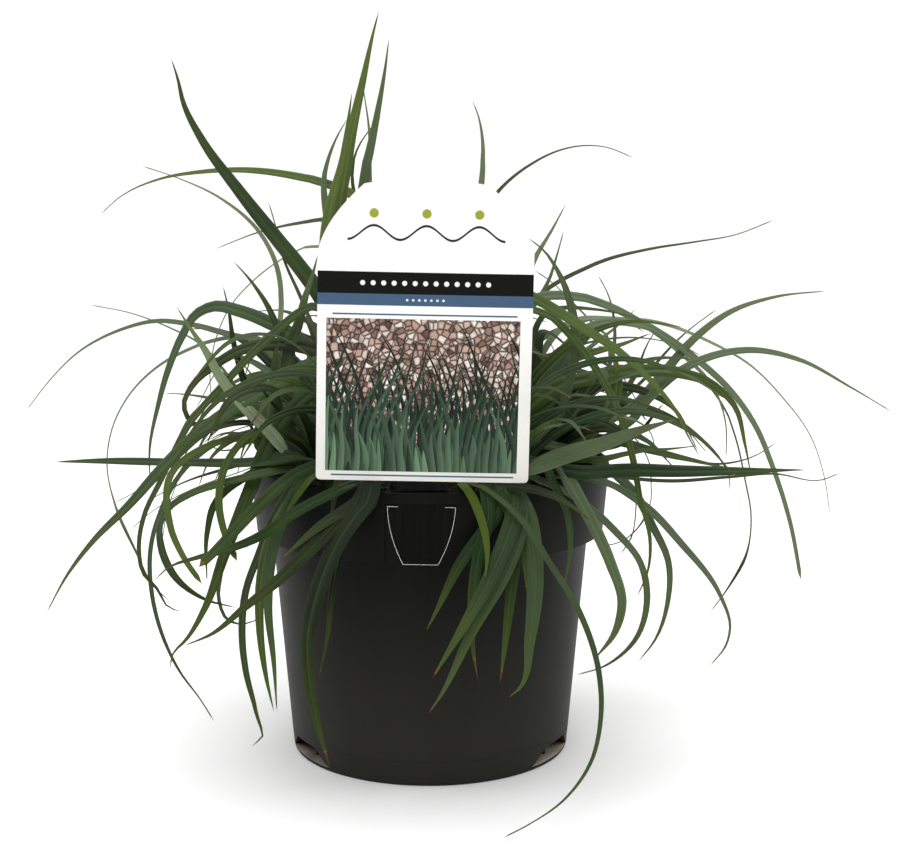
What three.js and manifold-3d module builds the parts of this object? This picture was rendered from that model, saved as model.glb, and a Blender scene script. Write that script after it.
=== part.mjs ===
// A carex sedge growing in its round nursery pot, with the grower's card label
// hooked on the rim. Millimetres, +Z up, the front towards -Y. The origin is the
// middle of the pot's base, on the surface that the pot stands on.
import * as THREE from "three";
import { mergeVertices } from "three/addons/utils/BufferGeometryUtils.js";
import Module from "manifold-3d";

const wasm = await Module();
wasm.setup();

const DEGREE = Math.PI / 180;
const GAP = 0.3;

// The pot: a thin moulded tub with a deep band under its rim.
const RIM_RADIUS = 100;
const RIM_TOP = 163;
const BAND_FOOT_RADIUS = 96.8;
const BAND_FOOT = 124.7;
const BODY_TOP_RADIUS = 88.4;
const BASE_RADIUS = 77.7;
const WALL = 2;
const FLOOR = 2.2;
const LIP = 1;
const BASE_BEVEL = 1.5;
const BAND_BEVEL = 0.6;
const POT_SIDES = 64;

// The four drains in the corner of wall and floor.
const DRAIN_FOOT_HALF = 22.5;
const DRAIN_TOP_HALF = 11;
const DRAIN_TOP = 11;
const DRAIN_DEPTH = 15;
const DRAIN_WALL = 2;
const DRAIN_MOUTH_HALF = 4.5;
const DRAIN_MOUTH_TOP = 8;
const DRAIN_RIB_HALF = 0.8;
const DRAIN_RIB_IN = 7;
const DRAIN_SKIN = 0.4;
const DRAIN_TURNS = [28, 152, 208, 332];

// The pocket in the band that takes the label's tab, and the strap over it.
const POCKET_HALF = 23.3;
const POCKET_TOP = 157.2;
const POCKET_BACK = -95.3;
const BAND_SLOPE = (RIM_RADIUS - BAND_FOOT_RADIUS) / (RIM_TOP - BAND_FOOT);
const SLOT_HALF = 16;
const SLOT_DEPTH = 1.9;
const SLOT_CENTRE = -4;
const PAST = 12;

// The label: one thin card with a neck and a shield-shaped tab.
const CARD_THICK = 0.8;
const CARD_HALF = 53.6;
const CARD_FOOT = 168.4;
const CARD_SHOULDER = 283;
const CARD_TOP = 320;
const DOME_HALF = 31;
const CARD_CORNER = 2.6;
const DOME_DROP = 3.2;
const DOME_BULGE = 3;
const SHOULDER_IN = 3;
const SHOULDER_RISE = 16;
const NECK_HALF = 12;
const FUNNEL_HALF = 19.6;
const SHIELD_TOP = 155;
const SHIELD_HALF = 17.4;
const SHIELD_FOOT = 124.3;
const SHIELD_FOOT_HALF = 9;
const SHIELD_IN = 0.6;
const SHIELD_BEND = 15;
const LABEL_X = -4.2;
const LABEL_TILT = 1.2 * DEGREE;
const LABEL_SETBACK = 0.45;

// The potting mix.
const SOIL_TOP = 148;
const SOIL_SIDES = 32;
const MOUND = 1.6;
const SOIL_RINGS = [72, 48, 24, 0];
const SOIL_CLEAR = 0.5;
const HOLE_CLEAR = 0.6;

// The shoots, or tillers, each wrapped at its foot in a sheath.
const SHEATH_RADIUS = 5.5;
const SHEATH_TOP = 30;
const SHEATH_ROOT = 15;
const SHEATH_SIDES = 6;
const SHEATH_COLLAR = 4.4;
const SHEATH_TURN = 11 * DEGREE;
const SHEATH_FOOT = 0.85;

// The tillers stand in three rings. Their leaves lean outwards, to within the
// spread of bearings on both sides, and those of the middle pair lean every way.
const TILLER_RINGS = [
  { count: 10, radius: 60, turn: 18, spread: 0.6 },
  { count: 6, radius: 34, turn: 0, spread: 0.6 },
  { count: 2, radius: 11, turn: 90, spread: 3 },
];

function toSolid(geometry) {
  const plain = new THREE.BufferGeometry();
  plain.setAttribute("position", geometry.attributes.position);
  plain.setIndex(geometry.index);
  const merged = mergeVertices(plain, 1e-4);
  const index = merged.index.array;
  const corners = [];
  for (let i = 0; i < index.length; i += 3) {
    const [a, b, c] = [index[i], index[i + 1], index[i + 2]];
    if (a !== b && b !== c && c !== a) {
      corners.push(a, b, c);
    }
  }
  const vertProperties = new Float32Array(merged.attributes.position.array);
  const triVerts = new Uint32Array(corners);
  return new wasm.Manifold(new wasm.Mesh({ numProp: 3, vertProperties, triVerts }));
}

function toMesh(name, solid, look) {
  const { vertProperties, triVerts } = solid.getMesh();
  const geometry = new THREE.BufferGeometry();
  geometry.setAttribute("position", new THREE.BufferAttribute(vertProperties, 3));
  geometry.setIndex(new THREE.BufferAttribute(triVerts, 1));
  geometry.computeVertexNormals();
  const mesh = new THREE.Mesh(geometry, new THREE.MeshStandardMaterial(look));
  mesh.name = name;
  return mesh;
}

function turned(profile, sides) {
  const points = profile.map(([radius, height]) => new THREE.Vector2(radius, height));
  return new THREE.LatheGeometry(points, sides).rotateX(Math.PI / 2);
}

function block(x0, x1, y0, y1, z0, z1) {
  const box = new THREE.BoxGeometry(x1 - x0, y1 - y0, z1 - z0);
  return box.translate((x0 + x1) / 2, (y0 + y1) / 2, (z0 + z1) / 2);
}

// A block whose faces to the front and back lean like the band of the pot.
function leaningBlock(half, front, back, z0, z1, centre = 0) {
  const box = block(centre - half, centre + half, front, back, z0, z1);
  const place = box.attributes.position;
  for (let i = 0; i < place.count; i += 1) {
    place.setY(i, place.getY(i) + bandLean(place.getZ(i)));
  }
  return toSolid(box);
}

function bandLean(height) {
  return (RIM_TOP - height) * BAND_SLOPE;
}

function wallRadius(height) {
  return BASE_RADIUS + (BODY_TOP_RADIUS - BASE_RADIUS) * height / BAND_FOOT;
}

function bandRadius(height) {
  return RIM_RADIUS - bandLean(height);
}

const BAND_INSIDE = BAND_FOOT + WALL;

function potShell() {
  const outside = [
    [0, 0],
    [BASE_RADIUS - BASE_BEVEL, 0],
    [BASE_RADIUS, BASE_BEVEL],
    [BODY_TOP_RADIUS, BAND_FOOT],
    [BAND_FOOT_RADIUS - BAND_BEVEL, BAND_FOOT],
    [BAND_FOOT_RADIUS, BAND_FOOT + BAND_BEVEL],
    [bandRadius(RIM_TOP - LIP), RIM_TOP - LIP],
    [RIM_RADIUS - LIP, RIM_TOP],
  ];
  const inside = [
    [RIM_RADIUS - WALL - LIP, RIM_TOP],
    [bandRadius(RIM_TOP - LIP) - WALL - LIP, RIM_TOP - LIP],
    [bandRadius(BAND_INSIDE) - WALL, BAND_INSIDE],
    [BODY_TOP_RADIUS - WALL, BAND_INSIDE],
    [wallRadius(FLOOR) - WALL, FLOOR],
    [0, FLOOR],
  ];
  return toSolid(turned([...outside, ...inside], POT_SIDES));
}

// The housing of a drain stands inside the wall, and its cut opens outwards. It is
// wider at its foot than at its top.
function drainBlock(footHalf, topHalf, inner, outer, z0, z1, turn) {
  const box = block(inner, outer, -1, 1, z0, z1);
  const place = box.attributes.position;
  for (let i = 0; i < place.count; i += 1) {
    const half = place.getZ(i) > (z0 + z1) / 2 ? topHalf : footHalf;
    place.setY(i, place.getY(i) * half);
  }
  return toSolid(box.rotateZ(turn * DEGREE));
}

const DRAIN_INNER = BASE_RADIUS - DRAIN_DEPTH;

function drainHousing(turn, margin = 0) {
  const more = DRAIN_WALL + margin;
  const foot = DRAIN_FOOT_HALF + more;
  const top = DRAIN_TOP_HALF + more;
  return drainBlock(foot, top, DRAIN_INNER - more, RIM_RADIUS, FLOOR - 1, DRAIN_TOP + more, turn);
}

// The housings end just inside the outer face of the wall.
function potOutline() {
  const foot = BASE_RADIUS - DRAIN_SKIN;
  const top = BODY_TOP_RADIUS - DRAIN_SKIN;
  const profile = [[0, 0], [foot, 0], [top, BAND_FOOT], [0, BAND_FOOT]];
  return toSolid(turned(profile, POT_SIDES));
}

function pot() {
  let solid = potShell();
  for (const turn of DRAIN_TURNS) {
    solid = solid.add(drainHousing(turn).intersect(potOutline()));
    solid = solid.subtract(drainBlock(
      DRAIN_FOOT_HALF, DRAIN_TOP_HALF, DRAIN_INNER, RIM_RADIUS, FLOOR, DRAIN_TOP, turn));
    const mouth = DRAIN_INNER - 2 * DRAIN_WALL;
    solid = solid.subtract(drainBlock(
      DRAIN_MOUTH_HALF, DRAIN_MOUTH_HALF, mouth, RIM_RADIUS, FLOOR, DRAIN_MOUTH_TOP, turn));
    const rib = DRAIN_INNER + DRAIN_RIB_IN;
    solid = solid.add(drainBlock(
      DRAIN_RIB_HALF, DRAIN_RIB_HALF, rib, rib + WALL, FLOOR - 1, DRAIN_TOP + 1, turn));
  }
  const backing = leaningBlock(
    POCKET_HALF + WALL, POCKET_BACK - 1, POCKET_BACK + WALL, BAND_FOOT, RIM_TOP);
  const recess = leaningBlock(
    POCKET_HALF, POCKET_BACK - PAST, POCKET_BACK, BAND_FOOT - PAST, POCKET_TOP);
  const slot = leaningBlock(
    SLOT_HALF, POCKET_BACK - SLOT_DEPTH, POCKET_BACK, POCKET_TOP - 1, RIM_TOP + PAST, SLOT_CENTRE);
  return solid.add(backing).subtract(recess).subtract(slot);
}

// The card, neck and shield are cut from one sheet, bent a little at the rim.
function labelOutline() {
  const shoulderX = CARD_HALF - SHOULDER_IN;
  const shoulderZ = CARD_SHOULDER + SHOULDER_RISE;
  const bendX = SHIELD_HALF - SHIELD_IN;
  const bendZ = SHIELD_FOOT + SHIELD_BEND;
  const shape = new THREE.Shape();
  shape.moveTo(FUNNEL_HALF, CARD_FOOT);
  shape.lineTo(CARD_HALF - CARD_CORNER, CARD_FOOT);
  shape.quadraticCurveTo(CARD_HALF, CARD_FOOT, CARD_HALF, CARD_FOOT + CARD_CORNER);
  shape.lineTo(CARD_HALF, CARD_SHOULDER);
  shape.quadraticCurveTo(shoulderX, shoulderZ, DOME_HALF, CARD_TOP - DOME_DROP);
  shape.quadraticCurveTo(0, CARD_TOP + DOME_BULGE, -DOME_HALF, CARD_TOP - DOME_DROP);
  shape.quadraticCurveTo(-shoulderX, shoulderZ, -CARD_HALF, CARD_SHOULDER);
  shape.lineTo(-CARD_HALF, CARD_FOOT + CARD_CORNER);
  shape.quadraticCurveTo(-CARD_HALF, CARD_FOOT, CARD_CORNER - CARD_HALF, CARD_FOOT);
  shape.lineTo(-FUNNEL_HALF, CARD_FOOT);
  shape.lineTo(-NECK_HALF, RIM_TOP);
  shape.lineTo(-NECK_HALF, SHIELD_TOP);
  shape.lineTo(-SHIELD_HALF, SHIELD_TOP);
  shape.quadraticCurveTo(-bendX, bendZ, -SHIELD_FOOT_HALF, SHIELD_FOOT);
  shape.lineTo(SHIELD_FOOT_HALF, SHIELD_FOOT);
  shape.quadraticCurveTo(bendX, bendZ, SHIELD_HALF, SHIELD_TOP);
  shape.lineTo(NECK_HALF, SHIELD_TOP);
  shape.lineTo(NECK_HALF, RIM_TOP);
  shape.closePath();
  return shape;
}

function label() {
  const sheet = new THREE.ExtrudeGeometry(labelOutline(), {
    depth: CARD_THICK,
    bevelEnabled: false,
    curveSegments: 8,
  });
  sheet.rotateX(Math.PI / 2);
  sheet.translate(0, POCKET_BACK - LABEL_SETBACK, -RIM_TOP);
  sheet.rotateY(LABEL_TILT);
  sheet.translate(LABEL_X, 0, RIM_TOP);
  const place = sheet.attributes.position;
  for (let i = 0; i < place.count; i += 1) {
    const below = Math.max(0, RIM_TOP - place.getZ(i));
    place.setY(i, place.getY(i) + below * BAND_SLOPE);
  }
  return toSolid(sheet);
}

function soilHeight(x, y) {
  const lumps = Math.sin(x * 0.21 + 1.3) * Math.cos(y * 0.17) + Math.sin((x + y) * 0.11);
  return SOIL_TOP - MOUND + MOUND * 0.5 * lumps;
}

function soil() {
  const clear = WALL + SOIL_CLEAR;
  const floor = FLOOR + GAP;
  const profile = [
    [0, floor],
    [wallRadius(floor) - clear, floor],
    [BODY_TOP_RADIUS - clear - GAP, BAND_INSIDE + GAP],
    [bandRadius(BAND_INSIDE) - clear, BAND_INSIDE + GAP],
    [bandRadius(SOIL_TOP) - clear - HOLE_CLEAR, SOIL_TOP - MOUND],
    ...SOIL_RINGS.map((radius) => [radius, SOIL_TOP]),
  ];
  const body = turned(profile, SOIL_SIDES);
  const place = body.attributes.position;
  for (let i = 0; i < place.count; i += 1) {
    if (place.getZ(i) > SOIL_TOP - 0.1) {
      place.setZ(i, soilHeight(place.getX(i), place.getY(i)));
    }
  }
  let solid = toSolid(body);
  for (const turn of DRAIN_TURNS) {
    solid = solid.subtract(drainHousing(turn, GAP));
  }
  solid = solid.subtract(leaningBlock(
    POCKET_HALF + WALL + GAP, POCKET_BACK - PAST, POCKET_BACK + WALL + GAP, BAND_FOOT, RIM_TOP));
  const hole = SHEATH_RADIUS + HOLE_CLEAR;
  for (const tiller of TILLERS) {
    solid = solid.subtract(sheath(tiller, hole, SHEATH_ROOT + HOLE_CLEAR, hole));
  }
  return solid;
}

function tillerRing({ count, radius, turn, spread }) {
  return Array.from({ length: count }, (_, i) => {
    const angle = (turn + 360 * i / count) * DEGREE;
    return { x: radius * Math.cos(angle), y: radius * Math.sin(angle), angle, spread };
  });
}

const TILLERS = TILLER_RINGS.flatMap(tillerRing);

function sheath(tiller, radius, root, collar) {
  const profile = [
    [0, SOIL_TOP - root],
    [radius * SHEATH_FOOT, SOIL_TOP - root],
    [radius, SOIL_TOP],
    [collar, SOIL_TOP + SHEATH_TOP / 2],
    [0, SOIL_TOP + SHEATH_TOP],
  ];
  const cone = turned(profile, SHEATH_SIDES).rotateZ(SHEATH_TURN);
  return toSolid(cone.translate(tiller.x, tiller.y, 0));
}

// The leaves. Those of the outside are drawn one by one on an upright sheet that
// stands square to the eye below: [steps across, steps down], from the tip back to
// the crown, with the depth of the tip along +Y. The others grow by the seeded rule
// in grownPath.
const EYE_BACK = 964.4;
const EYE_UP = 335.2;
const EYE_PITCH = 8.942 * DEGREE;
const EYE_TURN = 0.664 * DEGREE;
const SHEET_REACH = 1750;
const SHEET_MIDDLE = [450, 422];
const BLADE_THICK = 1.1;
const LEAF_ROOT = 6;
const LEAF_OFFSET = 2.5;
const ROOT_SHARE = 0.3;
const POT_CLEARANCE = 104;
const RIM_CLEARANCE = 102;
const RIM_SPAN = 96;
const RIM_RISE = 12;
const NEAR_RIM = 8;
const DEPTH_EASE = 0.85;
const HANGING_EASE = 0.6;
const MIDWAY = 0.3;
const STRETCH = 34;
const HANGING_STRETCH = 30;
const DRAWN_FACING = 0.75;
const GROWN_FACING = 0.6;
const WIDEST = 0.3;
const TAPER_RUN = 0.72;
const TAPER_BEND = 1.5;
const TIP_BLUNTNESS = 1.1;
const LEAF_WIDTH = [5.5, 9.5];
const LEAF_SIZE = [90, 300];
const LEAF_RISE = [0.9, 1.5];
const LEAF_FALL = [-1.35, -0.1];
const LEAF_DRIFT = [-0.35, 0.35];
const LEAF_BEND = [0.8, 1.6];
const GROWN_STEPS = 5;
const LEAST_STEPS = 5;
const MOST_STEPS = 10;
const HANGING_TIP = -102;

const DRAWN_LEAVES = [
  { tiller: 0, tip: 60, width: 7, seen: [
    [726, 460], [725, 420], [712, 385], [685, 357], [645, 325], [598, 302], [565, 294], [542, 297]
  ] },
  { tiller: 0, tip: 30, width: 4, seen: [[650, 323], [625, 315], [600, 310], [565, 308]] },
  { tiller: 0, tip: 140, width: 3, seen: [
    [830, 515], [825, 480], [810, 435], [782, 397], [750, 365], [710, 342], [660, 323], [610, 319],
    [580, 320]
  ] },
  { tiller: 0, tip: 110, width: 2.5, seen: [[717, 309], [682, 336], [655, 365], [640, 385]] },
  { tiller: 0, tip: 50, width: 3, seen: [[598, 275], [609, 297], [614, 320], [614, 345]] },
  { tiller: 0, tip: 60, width: 8, seen: [[652, 333], [620, 345], [590, 353], [560, 364], [536, 380]] },
  { tiller: 0, tip: 90, width: 5, seen: [
    [710, 613], [730, 585], [746, 555], [751, 517], [745, 480], [733, 430], [716, 392], [700, 378]
  ] },
  { tiller: 0, tip: 10, width: 6.5, seen: [
    [740, 471], [700, 462], [650, 450], [612, 440], [562, 439], [532, 443]
  ] },
  { tiller: 0, tip: 100, width: 3, seen: [[777, 442], [757, 455], [720, 464], [700, 463], [680, 459]] },
  { tiller: 0, tip: 40, width: 7, seen: [
    [728, 492], [730, 482], [722, 462], [700, 438], [670, 417], [640, 406], [610, 402]
  ] },
  { tiller: 0, tip: 25, width: 4, seen: [[664, 403], [654, 415], [640, 432], [625, 442]] },
  { tiller: 0, tip: 80, width: 3, seen: [
    [599, 547], [622, 541], [645, 517], [651, 500], [651, 482], [650, 455]
  ] },
  { tiller: 0, tip: 60, width: 5, seen: [[620, 555], [630, 540], [636, 505], [634, 470], [630, 440]] },
  { tiller: 0, tip: 20, width: 7.5, seen: [[548, 405], [552, 385], [545, 360], [536, 345]] },
  { tiller: 0, tip: 60, width: 7, seen: [[592, 398], [583, 375], [573, 352], [560, 335]] },
  { tiller: 0, tip: 30, width: 8, seen: [[640, 372], [622, 395], [600, 415], [575, 440]] },
  { tiller: 1, tip: 160, width: 3, seen: [[534, 270], [550, 281], [575, 305], [600, 330], [612, 340]] },
  { tiller: 1, tip: 140, width: 4, seen: [[636, 309], [615, 328], [590, 347]] },
  { tiller: 1, tip: 120, width: 4, seen: [[658, 327], [647, 345], [638, 368], [630, 385]] },
  { tiller: 1, tip: 150, width: 3.5, seen: [[703, 357], [680, 345], [655, 340], [620, 338]] },
  { tiller: 1, tip: 100, width: 4.5, seen: [[560, 378], [556, 358], [550, 342], [540, 330]] },
  { tiller: 2, tip: 190, width: 3, seen: [[130, 530], [150, 513], [165, 503], [200, 486], [240, 472]] },
  { tiller: 2, tip: 135, width: 4, seen: [[145, 502], [190, 480], [230, 468]] },
  { tiller: 3, tip: 170, width: 4, seen: [
    [213, 410], [210, 376], [215, 342], [232, 304], [254, 280], [284, 258], [320, 244]
  ] },
  { tiller: 3, tip: 150, width: 2.5, seen: [[162, 544], [164, 528], [172, 496], [178, 476]] },
  { tiller: 3, tip: 140, width: 3, seen: [[163, 393], [190, 395], [215, 399], [240, 404]] },
  { tiller: 3, tip: 110, width: 4.5, seen: [[281, 330], [300, 333], [318, 341]] },
  { tiller: 4, tip: 60, width: 6.5, seen: [
    [223, 286], [229, 312], [233, 340], [240, 368], [248, 395]
  ] },
  { tiller: 4, tip: 90, width: 5.5, seen: [
    [26, 411], [50, 380], [80, 351], [120, 330], [156, 321], [194, 325], [236, 336], [262, 340]
  ] },
  { tiller: 4, tip: 160, width: 2.5, seen: [
    [90, 305], [130, 313], [170, 328], [200, 344], [222, 368], [240, 392]
  ] },
  { tiller: 4, tip: 120, width: 5, seen: [
    [170, 602], [152, 584], [137, 554], [115, 504], [107, 465], [113, 426], [130, 394], [160, 365],
    [192, 348], [220, 338], [240, 337]
  ] },
  { tiller: 4, tip: 20, width: 4, seen: [
    [214, 721], [200, 699], [180, 672], [162, 634], [152, 594], [151, 546], [160, 514], [174, 490],
    [184, 470]
  ] },
  { tiller: 4, tip: 160, width: 3, seen: [[114, 503], [130, 495], [155, 477]] },
  { tiller: 4, tip: 100, width: 3, seen: [[205, 352], [218, 368], [230, 381], [243, 398]] },
  { tiller: 4, tip: 10, width: 5, seen: [[245, 410], [251, 426], [258, 446]] },
  { tiller: 4, tip: 90, width: 5, seen: [[205, 400], [235, 388], [262, 380], [300, 372]] },
  { tiller: 4, tip: 30, width: 7, seen: [[303, 316], [313, 335], [318, 365]] },
  { tiller: 5, tip: -20, width: 8, seen: [[318, 254], [314, 270], [305, 298], [298, 325], [288, 352]] },
  { tiller: 5, tip: -20, width: 9.5, seen: [
    [176, 306], [190, 328], [205, 350], [222, 380], [246, 408], [270, 432], [292, 458]
  ] },
  { tiller: 5, tip: -20, width: 11, seen: [
    [218, 425], [200, 426], [188, 418], [184, 404], [192, 386], [216, 364], [246, 348], [280, 344],
    [316, 347]
  ] },
  { tiller: 5, tip: -40, width: 9, seen: [
    [183, 612], [168, 607], [158, 590], [143, 572], [139, 550], [144, 516], [160, 482], [192, 420],
    [222, 386], [256, 350], [284, 325], [317, 307]
  ] },
  { tiller: 5, tip: -70, width: 8.5, seen: [
    [46, 614], [68, 574], [94, 540], [128, 506], [164, 466], [200, 432], [240, 404], [280, 383],
    [316, 364]
  ] },
  { tiller: 5, tip: -30, width: 8, seen: [[55, 462], [100, 461], [180, 462], [250, 462], [310, 456]] },
  { tiller: 5, tip: -60, width: 7, seen: [
    [237, 608], [204, 599], [176, 578], [161, 546], [160, 526], [170, 507], [190, 494], [230, 481],
    [270, 472], [314, 467]
  ] },
  { tiller: 5, tip: -90, width: 4.5, seen: [
    [202, 584], [184, 558], [170, 526], [166, 498], [168, 482]
  ] },
  { tiller: 5, tip: -100, width: 5, seen: [
    [237, 561], [225, 534], [219, 504], [222, 476], [232, 454], [244, 440], [258, 430]
  ] },
  { tiller: 5, tip: -85, width: 5, seen: [[207, 582], [207, 534], [216, 502], [232, 487]] },
  { tiller: 5, tip: -110, width: 9, seen: [
    [170, 669], [173, 654], [186, 640], [204, 610], [226, 550], [250, 490], [276, 430], [300, 402],
    [316, 391]
  ] },
  { tiller: 5, tip: -125, width: 8, seen: [
    [184, 646], [212, 634], [244, 608], [276, 582], [316, 544], [352, 508], [378, 487]
  ] },
  { tiller: 5, tip: -60, width: 4, seen: [
    [266, 612], [252, 622], [240, 624], [229, 621], [219, 600], [221, 574], [228, 545], [243, 505],
    [262, 470]
  ] },
  { tiller: 5, tip: -25, width: 10, seen: [
    [283, 345], [277, 365], [271, 390], [266, 415], [262, 445]
  ] },
  { tiller: 5, tip: -30, width: 5, seen: [[290, 325], [279, 342], [274, 365], [276, 395]] },
  { tiller: 5, tip: -60, width: 3, seen: [[230, 356], [245, 367], [257, 383], [268, 398]] },
  { tiller: 5, tip: -40, width: 3, seen: [[208, 442], [218, 450], [231, 450], [244, 446], [258, 438]] },
  { tiller: 5, tip: -10, width: 4.5, seen: [
    [209, 440], [222, 434], [238, 434], [252, 439], [262, 448]
  ] },
  { tiller: 5, tip: -135, width: 11, seen: [
    [330, 768], [317, 722], [309, 678], [308, 633], [318, 589], [347, 527], [372, 498], [384, 487]
  ] },
  { tiller: 5, tip: -120, width: 5, seen: [
    [319, 678], [328, 633], [331, 600], [340, 552], [354, 515], [368, 487]
  ] },
  { tiller: 5, tip: -115, width: 7.5, seen: [[280, 560], [320, 526], [356, 503], [376, 487]] },
  { tiller: 6, tip: -70, width: 7, seen: [
    [251, 747], [254, 743], [260, 741], [256, 712], [246, 672], [242, 630], [246, 590], [259, 554],
    [276, 512], [296, 480]
  ] },
  { tiller: 6, tip: -80, width: 8, seen: [
    [274, 712], [266, 676], [260, 630], [262, 570], [273, 530], [297, 492], [312, 474]
  ] },
  { tiller: 6, tip: -95, width: 6, seen: [
    [277, 712], [274, 664], [268, 602], [274, 545], [292, 500], [308, 476]
  ] },
  { tiller: 7, tip: -151, width: 4, seen: [
    [503, 838], [530, 824], [564, 800], [591, 762], [601, 715], [599, 673], [578, 609], [549, 562],
    [520, 518], [485, 489]
  ] },
  { tiller: 7, tip: -118, width: 7, seen: [
    [478, 681], [473, 649], [472, 604], [477, 564], [488, 520], [497, 489]
  ] },
  { tiller: 8, tip: -100, width: 10.5, seen: [
    [677, 419], [635, 432], [600, 445], [565, 455], [532, 468]
  ] },
  { tiller: 8, tip: -70, width: 4.5, seen: [
    [597, 433], [580, 427], [562, 425], [545, 428], [530, 434]
  ] },
  { tiller: 8, tip: -110, width: 10.5, seen: [
    [564, 587], [570, 553], [567, 513], [551, 478], [540, 455]
  ] },
  { tiller: 9, tip: -100, width: 6.5, seen: [
    [700, 457], [690, 440], [675, 410], [650, 380], [617, 350], [582, 327], [555, 308], [535, 295]
  ] },
  { tiller: 9, tip: 0, width: 10, seen: [
    [892, 412], [850, 387], [800, 360], [750, 350], [712, 356], [680, 371], [650, 397], [622, 432]
  ] },
  { tiller: 9, tip: -20, width: 8.5, seen: [
    [751, 476], [745, 445], [734, 405], [712, 384], [675, 372], [625, 372], [572, 382], [535, 390]
  ] },
  { tiller: 9, tip: -60, width: 10.5, seen: [
    [806, 470], [730, 471], [680, 471], [630, 470], [580, 472], [530, 467]
  ] },
  { tiller: 9, tip: -5, width: 2.5, seen: [
    [840, 473], [822, 480], [775, 474], [730, 477], [670, 481], [610, 475], [575, 466]
  ] },
  { tiller: 9, tip: -25, width: 5, seen: [[571, 415], [585, 419], [600, 414], [608, 402], [612, 380]] },
  { tiller: 9, tip: -25, width: 4.5, seen: [[577, 414], [560, 422], [545, 427], [530, 431]] },
  { tiller: 9, tip: -5, width: 4.5, seen: [[697, 446], [670, 449], [640, 451], [610, 458]] },
  { tiller: 9, tip: -110, width: 9.5, seen: [
    [594, 660], [615, 632], [622, 602], [611, 564], [591, 520], [572, 485], [560, 465]
  ] },
  { tiller: 9, tip: -30, width: 5.5, seen: [
    [710, 666], [726, 645], [730, 627], [720, 595], [680, 542], [650, 510], [610, 484], [570, 474]
  ] },
  { tiller: 9, tip: -20, width: 3, seen: [[655, 448], [650, 432], [640, 423], [620, 418]] },
  { tiller: 9, tip: -20, width: 8, seen: [[596, 345], [611, 352], [617, 370], [614, 400]] },
  { tiller: 9, tip: -25, width: 9.5, seen: [[575, 400], [566, 415], [556, 437], [546, 458]] },
  { tiller: 10, tip: 150, width: 3.5, seen: [
    [774, 220], [735, 235], [695, 242], [650, 249], [600, 262], [562, 281], [545, 291]
  ] },
  { tiller: 10, tip: 20, width: 6, seen: [[566, 204], [552, 230], [534, 260]] },
  { tiller: 10, tip: 30, width: 7.5, seen: [
    [826, 291], [775, 297], [730, 312], [697, 336], [660, 377], [635, 405]
  ] },
  { tiller: 10, tip: 30, width: 4.5, seen: [
    [801, 580], [790, 522], [772, 465], [755, 425], [730, 390], [700, 362], [660, 333], [640, 322]
  ] },
  { tiller: 10, tip: -40, width: 5, seen: [
    [577, 675], [605, 666], [637, 637], [647, 600], [640, 562], [615, 531], [590, 508], [560, 488],
    [540, 480]
  ] },
  { tiller: 11, tip: 60, width: 5, seen: [[472, 100], [478, 115], [482, 135], [483, 155], [480, 181]] },
  { tiller: 11, tip: 130, width: 4, seen: [
    [634, 158], [605, 147], [580, 146], [555, 152], [530, 165], [500, 189]
  ] },
  { tiller: 12, tip: 70, width: 5, seen: [[348, 118], [338, 135], [328, 160], [323, 187], [328, 222]] },
  { tiller: 12, tip: 80, width: 4, seen: [[361, 76], [365, 100], [369, 130], [369, 160]] },
  { tiller: 12, tip: 90, width: 4, seen: [[382, 116], [368, 132], [357, 150], [353, 165], [355, 182]] },
  { tiller: 12, tip: 130, width: 4, seen: [[215, 249], [260, 232], [300, 223], [330, 220]] },
  { tiller: 13, tip: 0, width: 9, seen: [[352, 92], [349, 115], [344, 150], [338, 185], [328, 217]] },
  { tiller: 13, tip: 40, width: 11, seen: [
    [171, 58], [178, 80], [183, 102], [202, 140], [240, 192], [278, 240], [310, 280]
  ] },
  { tiller: 13, tip: 110, width: 7, seen: [
    [100, 215], [120, 197], [160, 179], [200, 172], [244, 170], [300, 177], [349, 191]
  ] },
  { tiller: 13, tip: 150, width: 3.5, seen: [
    [142, 166], [180, 179], [220, 198], [260, 233], [276, 264], [281, 300], [278, 322]
  ] },
  { tiller: 13, tip: 30, width: 3, seen: [[268, 201], [273, 217], [284, 260], [300, 296], [314, 330]] },
  { tiller: 13, tip: -10, width: 6.5, seen: [
    [233, 261], [250, 280], [266, 303], [277, 322], [284, 342]
  ] },
  { tiller: 13, tip: 20, width: 10, seen: [
    [150, 484], [150, 446], [158, 406], [168, 370], [182, 336], [196, 314], [214, 306], [240, 311],
    [276, 326]
  ] },
  { tiller: 14, tip: -100, width: 6, seen: [
    [154, 581], [168, 568], [196, 558], [226, 550], [264, 534], [291, 515], [328, 495], [350, 485]
  ] },
  { tiller: 14, tip: -130, width: 7, seen: [
    [199, 567], [226, 540], [256, 508], [286, 481], [305, 470]
  ] },
  { tiller: 15, tip: -50, width: 7, seen: [
    [527, 237], [545, 252], [556, 268], [567, 292], [573, 315], [576, 345], [568, 385], [556, 425]
  ] },
  { tiller: 15, tip: -45, width: 5, seen: [
    [638, 662], [655, 640], [668, 600], [668, 560], [652, 525], [636, 495], [620, 478]
  ] },
  { tiller: 15, tip: -112, width: 7.5, seen: [
    [426, 631], [435, 614], [460, 564], [491, 522], [503, 502], [509, 488]
  ] },
  { tiller: 15, tip: -134, width: 9.5, seen: [
    [432, 679], [462, 629], [489, 580], [509, 533], [520, 500], [526, 488]
  ] },
  { tiller: 15, tip: -131, width: 8, seen: [
    [428, 714], [436, 703], [473, 629], [507, 567], [517, 540], [521, 505], [520, 488]
  ] },
  { tiller: 15, tip: -112, width: 7, seen: [
    [500, 684], [505, 644], [512, 582], [516, 545], [509, 505], [502, 489]
  ] },
  { tiller: 15, tip: -116, width: 10, seen: [
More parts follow.
